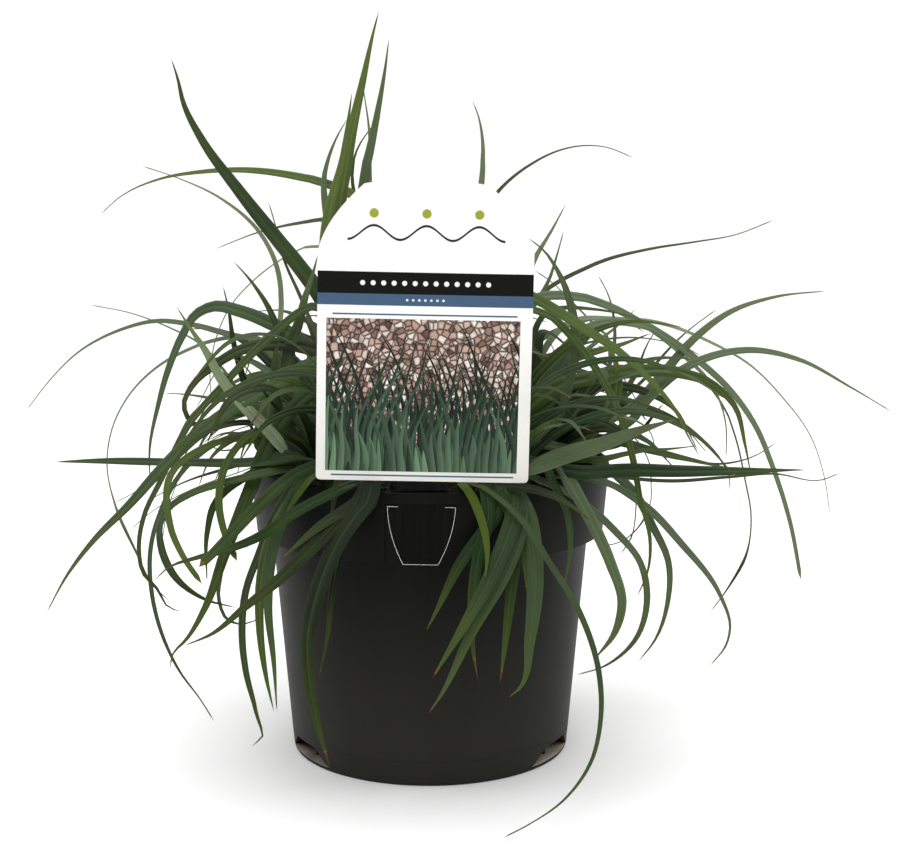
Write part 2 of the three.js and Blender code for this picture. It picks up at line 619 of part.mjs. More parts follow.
    [508, 698], [519, 689], [530, 638], [535, 580], [533, 550], [525, 510], [514, 488]
  ] },
  { tiller: 15, tip: -108, width: 5, seen: [
    [527, 594], [524, 560], [520, 527], [508, 502], [497, 489]
  ] },
  { tiller: 15, tip: -112, width: 7, seen: [[590, 520], [560, 499], [532, 489], [510, 486]] },
  { tiller: 16, tip: 20, width: 11, seen: [
    [379, 11], [374, 30], [363, 80], [350, 140], [343, 180], [335, 215]
  ] },
  { tiller: 16, tip: 50, width: 8.5, seen: [[389, 38], [385, 70], [378, 110], [370, 150], [362, 185]] },
  { tiller: 16, tip: 60, width: 4.5, seen: [[564, 230], [555, 262], [549, 280], [538, 298]] },
  { tiller: 17, tip: -80, width: 8, seen: [
    [637, 597], [648, 570], [650, 540], [640, 498], [632, 455], [620, 415], [598, 372], [572, 337],
    [550, 315], [535, 305]
  ] },
  { tiller: 17, tip: -120, width: 5.5, seen: [[485, 580], [487, 549], [479, 513], [468, 490]] },
];

// The seeds of the leaves that grow by the rule, under the number of their tiller.
const GROWN_LEAVES = {
  0: [23, 24, 43, 129, 243, 246, 303],
  1: [2, 3, 23, 35, 39, 50, 86, 161, 214],
  2: [1, 2, 9, 10, 11, 12, 13, 18, 68],
  3: [7, 13, 14, 20, 25, 30, 43, 48, 59],
  4: [13, 34, 73, 118, 173, 176, 430, 528],
  5: [25, 186, 264],
  6: [98, 482, 594],
  8: [3, 4, 22],
  9: [12, 15, 112, 136, 454, 747],
  10: [10, 44, 64, 84, 109],
  11: [1, 5, 6, 7, 33],
  12: [1, 2, 8, 25, 37],
  13: [22, 43, 102, 144, 225],
  14: [13, 36, 41, 75, 529],
  15: [11, 14, 28, 85, 108],
  16: [2, 13, 17, 20, 21],
  17: [9, 10, 55, 102, 128],
};

function combine(a, b, share = 1) {
  return a.map((value, i) => value + b[i] * share);
}

function minus(a, b) {
  return combine(a, b, -1);
}

function dot(a, b) {
  return a.reduce((sum, value, i) => sum + value * b[i], 0);
}

function cross(a, b) {
  return [a[1] * b[2] - a[2] * b[1], a[2] * b[0] - a[0] * b[2], a[0] * b[1] - a[1] * b[0]];
}

function unit(a) {
  const size = Math.hypot(...a) || 1;
  return a.map((value) => value / size);
}

const EYE = [0, -EYE_BACK, EYE_UP];
const AHEAD = [
  Math.sin(EYE_TURN) * Math.cos(EYE_PITCH),
  Math.cos(EYE_TURN) * Math.cos(EYE_PITCH),
  -Math.sin(EYE_PITCH),
];
const ACROSS = [Math.cos(EYE_TURN), -Math.sin(EYE_TURN), 0];
const ABOVE = cross(ACROSS, AHEAD);

// The point of the sheet's [across, down] that lies at a depth along +Y.
function fromSheet(mark, depth) {
  let ray = AHEAD.map((value) => value * SHEET_REACH);
  ray = combine(ray, ACROSS, mark[0] - SHEET_MIDDLE[0]);
  ray = combine(ray, ABOVE, SHEET_MIDDLE[1] - mark[1]);
  return combine(EYE, ray, (depth + EYE_BACK) / ray[1]);
}

function toSheet(point) {
  const ray = minus(point, EYE);
  const scale = SHEET_REACH / dot(ray, AHEAD);
  return [SHEET_MIDDLE[0] + scale * dot(ray, ACROSS), SHEET_MIDDLE[1] - scale * dot(ray, ABOVE)];
}

function hermite(from, fromSlope, to, toSlope, t) {
  const weights = [
    2 * t ** 3 - 3 * t ** 2 + 1,
    t ** 3 - 2 * t ** 2 + t,
    3 * t ** 2 - 2 * t ** 3,
    t ** 3 - t ** 2,
  ];
  return from.map((value, k) => (
    weights[0] * value + weights[1] * fromSlope[k] + weights[2] * to[k] + weights[3] * toSlope[k]
  ));
}

const CURVE_STEPS = 12;

// A smooth curve through the points, in short steps.
function smooth(points) {
  const spans = points.slice(1).map((point, i) => minus(point, points[i]));
  const sizes = spans.map((span) => Math.max(1e-6, Math.hypot(...span)));
  const slope = (i) => {
    const before = Math.max(i - 1, 0);
    const after = Math.min(i, spans.length - 1);
    if (i === 0 || i === spans.length) {
      return unit(spans[after]);
    }
    const total = sizes[before] + sizes[after];
    const lead = spans[before].map((value) => value / sizes[before] * sizes[after] / total);
    return combine(lead, spans[after], sizes[before] / sizes[after] / total);
  };
  const line = [];
  spans.forEach((_, i) => {
    const from = slope(i).map((value) => value * sizes[i]);
    const to = slope(i + 1).map((value) => value * sizes[i]);
    for (let step = 0; step < CURVE_STEPS; step += 1) {
      line.push(hermite(points[i], from, points[i + 1], to, step / CURVE_STEPS));
    }
  });
  line.push(points[points.length - 1]);
  return line;
}

function runs(line) {
  const marks = [0];
  for (let i = 1; i < line.length; i += 1) {
    marks.push(marks[i - 1] + Math.hypot(...minus(line[i], line[i - 1])));
  }
  return marks;
}

function evenly(line, count) {
  const marks = runs(line);
  const total = marks[marks.length - 1];
  const even = [];
  let k = 0;
  for (let i = 0; i <= count; i += 1) {
    const wanted = total * i / count;
    while (k < line.length - 2 && marks[k + 1] < wanted) {
      k += 1;
    }
    const share = (wanted - marks[k]) / Math.max(1e-9, marks[k + 1] - marks[k]);
    even.push(combine(line[k], minus(line[k + 1], line[k]), share));
  }
  return even;
}

// A leaf starts inside its sheath, on the side that it leans to.
function rootToward(tiller, bearing) {
  return [
    tiller.x + LEAF_OFFSET * Math.cos(bearing),
    tiller.y + LEAF_OFFSET * Math.sin(bearing),
    SOIL_TOP + LEAF_ROOT,
  ];
}

const HIDDEN_STEPS = 5;
const HIDDEN_REACH = 170;

// From its sheath a leaf first rises, out of sight, to where its drawn part starts.
function hiddenRise(start, drawn) {
  const size = Math.hypot(...minus(drawn[0], start));
  const reach = Math.min(size, HIDDEN_REACH) * 1.1;
  const up = unit([(drawn[0][0] - start[0]) / 4, -size]).map((value) => value * reach);
  const lead = unit(minus(drawn[1], drawn[0])).map((value) => value * reach);
  return Array.from({ length: HIDDEN_STEPS }, (_, i) => (
    hermite(start, up, drawn[0], lead, i / HIDDEN_STEPS)
  ));
}

// Where a leaf hangs beside the pot, it is set clear of the wall, and its
// neighbouring stretches follow.
function clearOfPot(marks, depths, edge, side) {
  const last = marks.length - 1;
  const pushes = marks.map((mark, i) => {
    const [x, y, z] = fromSheet(mark, depths[i]);
    if (i / last < edge || z > RIM_TOP + NEAR_RIM || Math.abs(x) >= POT_CLEARANCE) {
      return 0;
    }
    const needed = Math.sqrt(POT_CLEARANCE ** 2 - x * x);
    return Math.max(0, needed - side * y);
  });
  return depths.map((depth, i) => {
    if (i === 0) {
      return depth;
    }
    const near = pushes.map((push, j) => push * Math.max(0, 1 - Math.abs(i - j) / 3));
    return depth + side * Math.max(...near);
  });
}

function drawnPath(leaf, count) {
  const tiller = TILLERS[leaf.tiller];
  const drawn = leaf.seen.slice().reverse();
  const [x, y] = fromSheet(drawn[0], tiller.y + (leaf.tip - tiller.y) * MIDWAY);
  const root = rootToward(tiller, Math.atan2(y - tiller.y, x - tiller.x));
  const line = smooth([...hiddenRise(toSheet(root), drawn), ...drawn]);
  const marks = evenly(line, count);
  const run = runs(line);
  const edge = run[HIDDEN_STEPS * CURVE_STEPS] / run[run.length - 1];
  const edgeX = fromSheet(drawn[0], POCKET_BACK)[0];
  const edgeY = -Math.sqrt(Math.max(0, RIM_CLEARANCE ** 2 - edgeX * edgeX));
  const low = fromSheet(drawn[0], edgeY)[2] < RIM_TOP + RIM_RISE;
  const overRim = leaf.tip < 0 && Math.abs(edgeX) < RIM_SPAN && low;
  let depths = marks.map((_, i) => {
    const s = i / count;
    if (!overRim) {
      return root[1] + (leaf.tip - root[1]) * s ** DEPTH_EASE;
    }
    if (s < edge) {
      return root[1] + (edgeY - root[1]) * Math.sin(Math.PI / 2 * s / edge);
    }
    return edgeY + (leaf.tip - edgeY) * ((s - edge) / (1 - edge)) ** HANGING_EASE;
  });
  for (let pass = 0; pass < 3; pass += 1) {
    depths = clearOfPot(marks, depths, edge, leaf.tip < 0 ? -1 : 1);
  }
  return marks.map((mark, i) => (i === 0 ? root : fromSheet(mark, depths[i])));
}

// A drawn leaf has a joint in its blade every 34 mm or so, and one that hangs in
// front of the pot has them a little closer.
function drawnLeaf(leaf) {
  const rough = runs(drawnPath(leaf, MOST_STEPS));
  const stretch = leaf.tip < HANGING_TIP ? HANGING_STRETCH : STRETCH;
  const count = Math.round(rough[MOST_STEPS] / stretch);
  const steps = Math.max(LEAST_STEPS, Math.min(MOST_STEPS, count));
  return blade(drawnPath(leaf, steps), leaf.width, DRAWN_FACING);
}

function seeded(seed) {
  let state = seed * 7919 + 17;
  return (low, high) => {
    state = state * 16807 % 2147483647;
    return low + (high - low) * state / 2147483647;
  };
}

// A leaf by the rule: it rises from its tiller, arches over outwards and droops.
function grownLeaf(number, seed) {
  const draw = seeded(seed + 1000 * number + 1);
  draw(0, 1);
  draw(0, 1);
  const tiller = TILLERS[number];
  let bearing = tiller.angle + draw(-tiller.spread, tiller.spread);
  const step = draw(...LEAF_SIZE) / GROWN_STEPS;
  const rise = draw(...LEAF_RISE);
  const fall = draw(...LEAF_FALL);
  const drift = draw(...LEAF_DRIFT);
  const bend = draw(...LEAF_BEND);
  const path = [rootToward(tiller, bearing)];
  for (let i = 0; i < GROWN_STEPS; i += 1) {
    const pitch = rise + (fall - rise) * ((i + 0.5) / GROWN_STEPS) ** bend;
    bearing += drift / GROWN_STEPS;
    const flat = step * Math.cos(pitch);
    path.push(combine(path[i], [
      flat * Math.cos(bearing), flat * Math.sin(bearing), step * Math.sin(pitch)]));
  }
  return blade(path, draw(...LEAF_WIDTH), GROWN_FACING);
}

// A blade is narrow at its sheath, widest a third of the way and pointed at its tip.
function bladeShape(s) {
  if (s < WIDEST) {
    return 0.6 + 0.4 * Math.sin(s / WIDEST * Math.PI / 2);
  }
  return Math.max(0, 1 - ((s - WIDEST) / TAPER_RUN) ** TAPER_BEND) ** TIP_BLUNTNESS;
}

// The direction across the blade at each step: its face looks up and outwards, and
// by its share of facing to the front.
function bladeWides(path, facing) {
  const wides = [];
  for (let i = 0; i < path.length - 1; i += 1) {
    const along = unit(minus(path[i + 1], path[Math.max(i - 1, 0)]));
    let face = unit(minus(EYE, path[i])).map((value) => value * facing);
    face = combine(face, [0, 0, 1]);
    face = combine(face, unit([path[i][0], path[i][1], 0.001]), Math.max(0, -along[2]) * 0.6);
    let wide = unit(cross(along, face));
    if (i > 0) {
      wide = wide.map((value) => value * (dot(wide, wides[i - 1]) < 0 ? -1 : 1));
      wide = unit(combine(wide, wides[i - 1], 0.6));
    }
    wides.push(unit(combine(wide, along, -dot(wide, along))));
  }
  return wides;
}

// Two triangles for one side of a stretch, split so that a twisted side bulges out.
function stretchSide(points, near, nearNext, far, farNext) {
  const from = points[near];
  const slope = cross(minus(points[farNext], from), minus(points[nearNext], from));
  if (dot(slope, minus(points[far], from)) > 0) {
    return [near, far, nearNext, nearNext, far, farNext];
  }
  return [near, farNext, nearNext, near, far, farNext];
}

// A closed blade of three sides: its face between two sharp edges, and the keel
// below.
function blade(path, width, facing) {
  const wides = bladeWides(path, facing);
  const last = wides.length - 1;
  const points = [];
  wides.forEach((wide, i) => {
    const along = unit(minus(path[i + 1], path[Math.max(i - 1, 0)]));
    const up = cross(wide, along);
    const shape = i === 0 ? ROOT_SHARE : bladeShape(i / (last + 1));
    const half = Math.max(0.5, width * shape / 2);
    const thick = Math.max(0.35, BLADE_THICK / 2 * (0.6 + 0.4 * shape));
    const face = combine(path[i], up, thick);
    points.push(combine(face, wide, half), combine(face, wide, -half), combine(path[i], up, -thick));
  });
  points.push(path[last + 1]);
  const tip = points.length - 1;
  const faces = [0, 1, 2];
  for (let k = 0; k < 3; k += 1) {
    const next = (k + 1) % 3;
    for (let a = 0; a < 3 * last; a += 3) {
      faces.push(...stretchSide(points, a + k, a + next, a + 3 + k, a + 3 + next));
    }
    faces.push(3 * last + k, tip, 3 * last + next);
  }
  return new wasm.Manifold(new wasm.Mesh({
    numProp: 3,
    vertProperties: new Float32Array(points.flat()),
    triVerts: new Uint32Array(faces),
  }));
}

function tillerSolid(number) {
  let solid = sheath(TILLERS[number], SHEATH_RADIUS, SHEATH_ROOT, SHEATH_COLLAR);
  for (const leaf of DRAWN_LEAVES.filter((entry) => entry.tiller === number)) {
    solid = solid.add(drawnLeaf(leaf));
  }
  for (const seed of GROWN_LEAVES[number] ?? []) {
    solid = solid.add(grownLeaf(number, seed));
  }
  return solid;
}

const part = new THREE.Group();
part.name = "carex_sedge";
part.add(toMesh("pot", pot(), { color: 0x1f201d, roughness: 0.55, metalness: 0 }));
part.add(toMesh("soil", soil(), { color: 0x2a1e15, roughness: 0.95, metalness: 0 }));
part.add(toMesh("label", label(), { color: 0xf2f1ec, roughness: 0.4, metalness: 0 }));
TILLERS.forEach((_, number) => {
  const name = `tiller_${String(number + 1).padStart(2, "0")}`;
  part.add(toMesh(name, tillerSolid(number), { color: 0x35502f, roughness: 0.5, metalness: 0 }));
});

export default part;
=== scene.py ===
# A carex sedge in its round nursery pot, with the grower's card label hooked on the
# rim. It is dressed piece by piece in the order that a nursery puts it together:
# pot, potting mix, label, and then the sedge's shoots with their leaves.
import math
from collections import namedtuple

import bmesh
import bpy
import numpy as np
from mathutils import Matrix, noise


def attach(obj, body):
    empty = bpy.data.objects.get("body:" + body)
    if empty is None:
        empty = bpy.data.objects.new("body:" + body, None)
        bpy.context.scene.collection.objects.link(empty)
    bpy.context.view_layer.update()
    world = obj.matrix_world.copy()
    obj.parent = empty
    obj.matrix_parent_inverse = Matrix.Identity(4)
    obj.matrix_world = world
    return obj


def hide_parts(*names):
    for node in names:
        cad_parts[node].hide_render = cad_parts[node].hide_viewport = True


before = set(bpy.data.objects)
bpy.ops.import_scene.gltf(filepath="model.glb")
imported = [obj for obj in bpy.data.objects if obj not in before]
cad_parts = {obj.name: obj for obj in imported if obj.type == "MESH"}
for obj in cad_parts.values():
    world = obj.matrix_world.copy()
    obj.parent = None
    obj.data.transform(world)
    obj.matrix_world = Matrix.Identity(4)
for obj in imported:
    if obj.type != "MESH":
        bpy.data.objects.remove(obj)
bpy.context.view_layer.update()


# ---------------------------------------------------------------- The studio
# The camera looks at the label from just above the leaves. The pot stands on a
# white sweep, under a wide soft light from above and a softer one from each side.
EYE_BACK = 964.4
EYE_UP = 335.2
EYE_PITCH = math.radians(8.942)
EYE_TURN = math.radians(0.664)
SWEEP_HALF = 20


def placed(name, data):
    """An object made of this data, put in the scene."""
    made = bpy.data.objects.new(name, data)
    bpy.context.collection.objects.link(made)
    return made


camera = placed("camera", bpy.data.cameras.new("camera"))
camera.data.sensor_fit = "HORIZONTAL"
camera.data.sensor_width = 36
camera.data.lens = 70
camera.data.clip_end = 50
camera.location = (0, -EYE_BACK / 1000, EYE_UP / 1000)
camera.rotation_euler = (math.radians(90) - EYE_PITCH, 0, -EYE_TURN)
bpy.context.scene.camera = camera
bpy.context.scene.view_settings.view_transform = "Standard"
bpy.context.scene.view_settings.look = "None"


def soft_light(name, place, target, size, watts):
    """A sheet of soft light at a place, aimed at its target; all in metres."""
    lamp = placed(name, bpy.data.lights.new(name, "AREA"))
    lamp.data.shape = "RECTANGLE"
    lamp.data.size, lamp.data.size_y = size
    lamp.data.energy = watts
    lamp.location = place
    aim = np.array(target) - np.array(place)
    flat = math.hypot(aim[0], aim[1])
    lamp.rotation_euler = (math.atan2(flat, -aim[2]), 0, math.atan2(aim[1], aim[0]) - math.pi / 2)


soft_light("key_light", (-0.3, -1.7, 1.7), target=(0, 0, 0.2), size=(1.3, 1.0), watts=20)
soft_light("left_light", (-1.7, 0.1, 0.7), target=(0, 0, 0.15), size=(0.8, 1.2), watts=7)
soft_light("right_light", (1.7, 0.1, 0.7), target=(0, 0, 0.15), size=(0.8, 1.2), watts=7)
overhead = placed("overhead", bpy.data.lights.new("overhead", "SUN"))
overhead.data.energy = 1.5
overhead.data.angle = math.radians(60)
overhead.rotation_euler = (math.radians(-10), 0, 0)


def srgb(red, green, blue):
    """A linear colour from its 0 to 255 sRGB values."""
    def line(value):
        value /= 255
        return value / 12.92 if value <= 0.04045 else ((value + 0.055) / 1.055) ** 2.4
    return (line(red), line(green), line(blue), 1)


class Finish:
    """The nodes of one finish, or of the room. Each short method adds one node to them."""

    def __init__(self, owner, last):
        owner.use_nodes = True
        self.owner = owner
        self.nodes = owner.node_tree.nodes
        self.last = self.nodes[last]

    def put(self, value, socket):
        """Links another node's output to the socket, or sets it to a plain value."""
        if isinstance(value, bpy.types.NodeSocket):
            self.owner.node_tree.links.new(value, socket)
        else:
            socket.default_value = value

    def feed(self, **inputs):
        """Gives the finish itself what is named: Base_Color, Roughness and so on."""
        for socket, value in inputs.items():
            self.put(value, self.last.inputs[socket.replace("_", " ")])

    def node(self, kind, inputs=(), **settings):
        """Any kind of node, with its settings and with what goes into it."""
        made = self.nodes.new("ShaderNode" + kind)
        for key, value in settings.items():
            setattr(made, key, value)
        for socket, value in dict(inputs).items():
            self.put(value, made.inputs[socket])
        return made

    def math(self, operation, *values, **settings):
        """One sum with up to three values."""
        return self.node("Math", enumerate(values), operation=operation, **settings).outputs[0]

    def span(self, value, low, high, to_low=0, to_high=1):
        """How far the value is on its way from low to high, put between to_low and to_high."""
        inputs = {"Value": value, "From Min": low, "From Max": high, "To Min": to_low, "To Max": to_high}
        return self.node("MapRange", inputs).outputs[0]

    def mix(self, share, first, second):
        """The first colour, with this share of the second one over it."""
        return self.node("Mix", {0: share, 6: first, 7: second}, data_type="RGBA").outputs[2]

    def ramp(self, share, *stops):
        """A colour between stops, each of them a share and its colour."""
        made = self.node("ValToRGB", {"Fac": share})
        elements = made.color_ramp.elements
        for i, stop in enumerate((stops[0], stops[-1])):
            elements[i].position, elements[i].color = stop
        for position, colour in stops[1:-1]:
            elements.new(position).color = colour
        return made.outputs["Color"]

    def speckle(self, place, scale, detail, output="Fac", roughness=0.5):
        """Cloudy speckles over the piece, finer with a greater scale."""
        inputs = {"Vector": place, "Scale": scale, "Detail": detail, "Roughness": roughness}
        return self.node("TexNoise", inputs).outputs[output]

    def stretch(self, place, scale):
        """The place, scaled apart along each axis, for streaks."""
        return self.node("Mapping", {"Vector": place, "Scale": scale}).outputs[0]

    def split(self, vector):
        """The three parts of a vector or a colour."""
        return tuple(self.node("SeparateXYZ", {0: vector}).outputs)

    def grain(self, height, strength, distance):
        """Fine relief, with its greatest depth in metres."""
        relief = self.node("Bump", {"Height": height, "Strength": strength, "Distance": distance})
        self.feed(Normal=relief.outputs[0])


def finish_of(name, roughness, specular):
    """A new material's finish, with how rough and how glossy it is."""
    finish = Finish(bpy.data.materials.new(name), "Principled BSDF")
    finish.feed(Roughness=roughness, Specular_IOR_Level=specular)
    return finish


# The room is white to the eye, and its light is weaker from the front than from behind.
room = Finish(bpy.data.worlds.new("white_room"), "Background")
bpy.context.scene.world = room.owner
backwards = room.split(room.node("TexCoord").outputs["Generated"])[1]
lit = room.span(backwards, -1, 0.4, 0.12, 0.95)
to_camera = room.node("LightPath").outputs["Is Camera Ray"]
strength = room.node("Mix", {0: to_camera, 2: lit, 3: 1.05}, data_type="FLOAT").outputs[0]
room.feed(Color=(1, 1, 1, 1), Strength=strength)

sweep_corners = [(x * SWEEP_HALF, y * SWEEP_HALF, 0) for x, y in ((-1, -1), (1, -1), (1, 1), (-1, 1))]
floor_sweep = bpy.data.meshes.new("floor_sweep")
floor_sweep.from_pydata(sweep_corners, [], [(0, 1, 2, 3)])
floor = placed("floor", floor_sweep)
sweep_paper = finish_of("floor_paper", 0.9, 0.1)
paper_grain = sweep_paper.node("TexNoise", {"Scale": 9, "Detail": 2}).outputs["Fac"]
paper_tone = sweep_paper.ramp(paper_grain, (0, (0.93, 0.93, 0.925, 1)), (1, (0.95, 0.95, 0.95, 1)))
sweep_paper.feed(Base_Color=paper_tone)
floor.data.materials.append(sweep_paper.owner)


# ------------------------------------------------------------------- The pot
# A tub of black recycled polypropylene, moulded in one shot: a deep band under the
# rim, four drains where wall and floor meet, and a sunk panel in the band's front
# with a strap across its top that holds the label's tab.
RIM_RADIUS = 100
RIM_TOP = 163
BAND_FOOT_RADIUS = 96.8
BAND_FOOT = 124.7
BODY_TOP_RADIUS = 88.4
BASE_RADIUS = 77.7
WALL = 2
FLOOR = 2.2
MID_WALL = 60
LIP_FOOT = RIM_TOP - 1.4
POT_SIDES = 192
BAND_SLOPE = (RIM_RADIUS - BAND_FOOT_RADIUS) / (RIM_TOP - BAND_FOOT)

# How deep the groove round the wall is at each of its heights.
GROOVE = ((0, 12.4), (0.22, 12.7), (0.22, 13.3), (0, 13.6))

# The drains, all alike: the housing, the passage through its back, and the rib.
DRAIN_TURNS = (28, 152, 208, 332)
DRAIN_FOOT_HALF = 24.5
DRAIN_TOP_HALF = 13
DRAIN_INNER = 60.7
DRAIN_FOOT = 1.2
DRAIN_TOP = 13
PASSAGE_HALF = 4.5
PASSAGE_TOP = 8
RIB_INNER = 69.7
RIB_TOP = 12
PAST_WALL = 100

# The sunk panel, the strap over its top, and the slot behind the strap.
FRONT = -90
PANEL_HALF = 23.3
PANEL_FOOT = 112.7
POCKET_BACK = 95.3
STRAP_FOOT = 157.2
STRAP_BACK = 97.2
PAST_BAND = 107.3
SLOT_HALF = 16
SLOT_MIDDLE = -4

# A block's six faces, with the four corners of its foot counted first.
BOX_FACES = ((3, 2, 1, 0), (4, 5, 6, 7), (0, 1, 5, 4), (1, 2, 6, 5), (2, 3, 7, 6), (3, 0, 4, 7))


def wall_radius(height):
    return BASE_RADIUS + (BODY_TOP_RADIUS - BASE_RADIUS) * height / BAND_FOOT


def band_radius(height):
    return RIM_RADIUS - (RIM_TOP - height) * BAND_SLOPE


def piece_from(name, points, faces):
    """An object from points in millimetres."""
    mesh = bpy.data.meshes.new(name)
    mesh.from_pydata([tuple(float(v) / 1000 for v in p) for p in points], [], faces)
    mesh.validate()
    return placed(name, mesh)


def rounded(mesh, degrees):
    """Shades the mesh as one smooth skin, but for the edges that are sharper than this."""
    mesh.polygons.foreach_set("use_smooth", [True] * len(mesh.polygons))
    mesh.set_sharp_from_angle(angle=math.radians(degrees))


def turned(name, profile, sides):
    """A closed body turned about Z from a profile that starts and ends on the axis."""
    rings = profile[1:-1]
    points = [(0, 0, profile[0][1])]
    for radius, height in rings:
        for i in range(sides):
            angle = 2 * math.pi * i / sides
            points.append((radius * math.cos(angle), radius * math.sin(angle), height))
    points.append((0, 0, profile[-1][1]))
    last = len(points) - 1
    faces = []
    for i in range(sides):
        j = (i + 1) % sides
        faces.append((0, 1 + j, 1 + i))
        for k in range(len(rings) - 1):
            a, b = 1 + k * sides, 1 + (k + 1) * sides
            faces.append((a + i, a + j, b + j, b + i))
        top = 1 + (len(rings) - 1) * sides
        faces.append((top + i, top + j, last))
    return piece_from(name, points, faces)


def wedge(foot_half, top_half, inner, outer, low, high, turn=0.0, lean=0.0, middle=0.0):
    """A block that is wider at its foot, with faces that may lean as the band does."""
    points = []
    for height, half in ((low, foot_half), (high, top_half)):
        for along, across in ((inner, -half), (outer, -half), (outer, half), (inner, half)):
            along += (RIM_TOP - height) * lean
            across += middle
            angle = math.radians(turn)
            points.append((
                along * math.cos(angle) - across * math.sin(angle),
                along * math.sin(angle) + across * math.cos(angle),
                height,
            ))
    return piece_from("wedge", points, BOX_FACES)


def drain_block(turn, spare, low=DRAIN_FOOT):
    """The form of a drain's housing, larger at its sides, back and top by the spare size."""
    return wedge(
        DRAIN_FOOT_HALF + spare, DRAIN_TOP_HALF + spare, DRAIN_INNER - spare, PAST_WALL,
        low, DRAIN_TOP + spare, turn)


def front_block(half, inner, outer, low, high, middle=0.0):
    """An upright block at the pot's front that leans with the band."""
    return wedge(half, half, inner, outer, low, high, FRONT, -BAND_SLOPE, middle)


def carve(piece, tool, operation):
    """Joins the tool to the piece, cuts it away or keeps what both share."""
    change = piece.modifiers.new("carve", "BOOLEAN")
    change.solver = "EXACT"
    change.operation = operation
    change.object = tool
    graph = bpy.context.evaluated_depsgraph_get()
    mesh = bpy.data.meshes.new_from_object(piece.evaluated_get(graph))
    piece.modifiers.clear()
    piece.data = mesh
    bpy.data.objects.remove(tool)


pot = turned("nursery_pot", [
    # Underneath, and the foot's rounded edge.
    (0, 0), (BASE_RADIUS - 1.3, 0), (BASE_RADIUS - 0.6, 0.25), (BASE_RADIUS - 0.2, 0.8), (BASE_RADIUS, 1.6),
    # The wall, with a fine groove round it.
    *[(wall_radius(height) - depth, height) for depth, height in GROOVE],
    (wall_radius(MID_WALL), MID_WALL),
    (BODY_TOP_RADIUS, BAND_FOOT - 0.8), (BODY_TOP_RADIUS + 0.3, BAND_FOOT),
    # The band and the rounded rim.
    (BAND_FOOT_RADIUS - 0.9, BAND_FOOT), (BAND_FOOT_RADIUS - 0.3, BAND_FOOT + 0.25),
    (BAND_FOOT_RADIUS, BAND_FOOT + 0.9),
    (band_radius(LIP_FOOT), LIP_FOOT), (RIM_RADIUS - 0.25, RIM_TOP - 0.7),
    (RIM_RADIUS - 0.6, RIM_TOP - 0.2), (RIM_RADIUS - 1.1, RIM_TOP),
    (RIM_RADIUS - 2, RIM_TOP), (RIM_RADIUS - 2.6, RIM_TOP - 0.3),
    (band_radius(LIP_FOOT) - WALL - 0.6, LIP_FOOT),
    # The inside, down to the floor.
    (band_radius(BAND_FOOT + 3.3) - WALL, BAND_FOOT + 3.3), (BODY_TOP_RADIUS - WALL, BAND_FOOT + WALL),
    (wall_radius(MID_WALL) - WALL, MID_WALL), (wall_radius(FLOOR + 1) - WALL, FLOOR + 1),
    (wall_radius(FLOOR) - WALL - 1, FLOOR), (0, FLOOR),
], POT_SIDES)

# Each drain is a housing inside the wall, open to the outside, with a passage
# through its back and an upright rib in its mouth.
for drain in DRAIN_TURNS:
    housing = drain_block(drain, 0)
    skin = turned("skin", [
        (0, 0), (BASE_RADIUS - 0.4, 0), (BODY_TOP_RADIUS - 0.4, BAND_FOOT), (0, BAND_FOOT),
    ], POT_SIDES // 2)
    carve(housing, skin, "INTERSECT")
    carve(pot, housing, "UNION")
    carve(pot, drain_block(drain, -WALL, low=FLOOR), "DIFFERENCE")
    passage = wedge(PASSAGE_HALF, PASSAGE_HALF, DRAIN_INNER - WALL, PAST_WALL, FLOOR, PASSAGE_TOP, drain)
    carve(pot, passage, "DIFFERENCE")
    carve(pot, wedge(0.8, 0.5, RIB_INNER, RIB_INNER + WALL, DRAIN_FOOT, RIB_TOP, drain), "UNION")

# The panel's back, the sunk panel under its strap, and the slot behind the strap.
panel_back = front_block(PANEL_HALF + WALL, POCKET_BACK - WALL, POCKET_BACK + 1, BAND_FOOT, RIM_TOP)
carve(pot, panel_back, "UNION")
carve(pot, front_block(PANEL_HALF, POCKET_BACK, PAST_BAND, PANEL_FOOT, STRAP_FOOT), "DIFFERENCE")
slot = front_block(SLOT_HALF, POCKET_BACK, STRAP_BACK, STRAP_FOOT - 1, RIM_TOP + 12, SLOT_MIDDLE)
carve(pot, slot, "DIFFERENCE")
rounded(pot.data, 32)

# Black plastic from the mould, satin and very finely grained, with grey dust from the
# bench on the drains' ledges. Its wall is painted paler and warmer towards the foot:
# painted shade on the upper wall under the leaves, and painted reflection low down.
plastic = finish_of("pot_plastic", 0.5, 0.08)
place = plastic.node("TexCoord").outputs["Object"]
height = plastic.split(place)[2]
facing_up = plastic.split(plastic.node("NewGeometry").outputs["Normal"])[2]
cloud = plastic.speckle(place, 22, 4)
streaks = plastic.speckle(plastic.stretch(place, (70, 70, 5)), 1, 5)
tone = plastic.ramp(streaks, (0.3, srgb(7, 7, 5)), (0.75, srgb(12, 12, 9)))
# Painted light: the wall turns paler towards its foot, for the leaves' shade above and a reflection below.
painted_light_below = plastic.span(height, 0.115, 0.02, 0, 0.018)
painted_light_tint = plastic.node("VectorMath", {0: (1, 0.98, 0.82), "Scale": painted_light_below}, operation="SCALE").outputs[0]
tone_with_painted_light = plastic.node("VectorMath", {0: tone, 1: painted_light_tint}, operation="ADD").outputs[0]
ledge = plastic.math("MULTIPLY", plastic.span(height, 0.006, 0.0035), plastic.span(facing_up, 0.6, 0.95))
dust = plastic.math("MULTIPLY", ledge, plastic.span(cloud, 0.25, 0.55))
plastic.feed(Base_Color=plastic.mix(dust, tone_with_painted_light, srgb(176, 168, 152)))
plastic.feed(Roughness=plastic.span(cloud, 0, 1, 0.44, 0.58))
plastic.grain(plastic.speckle(place, 900, 3), 0.12, 0.0004)
pot.data.materials.clear()
pot.data.materials.append(plastic.owner)
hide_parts("pot")
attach(pot, "root")


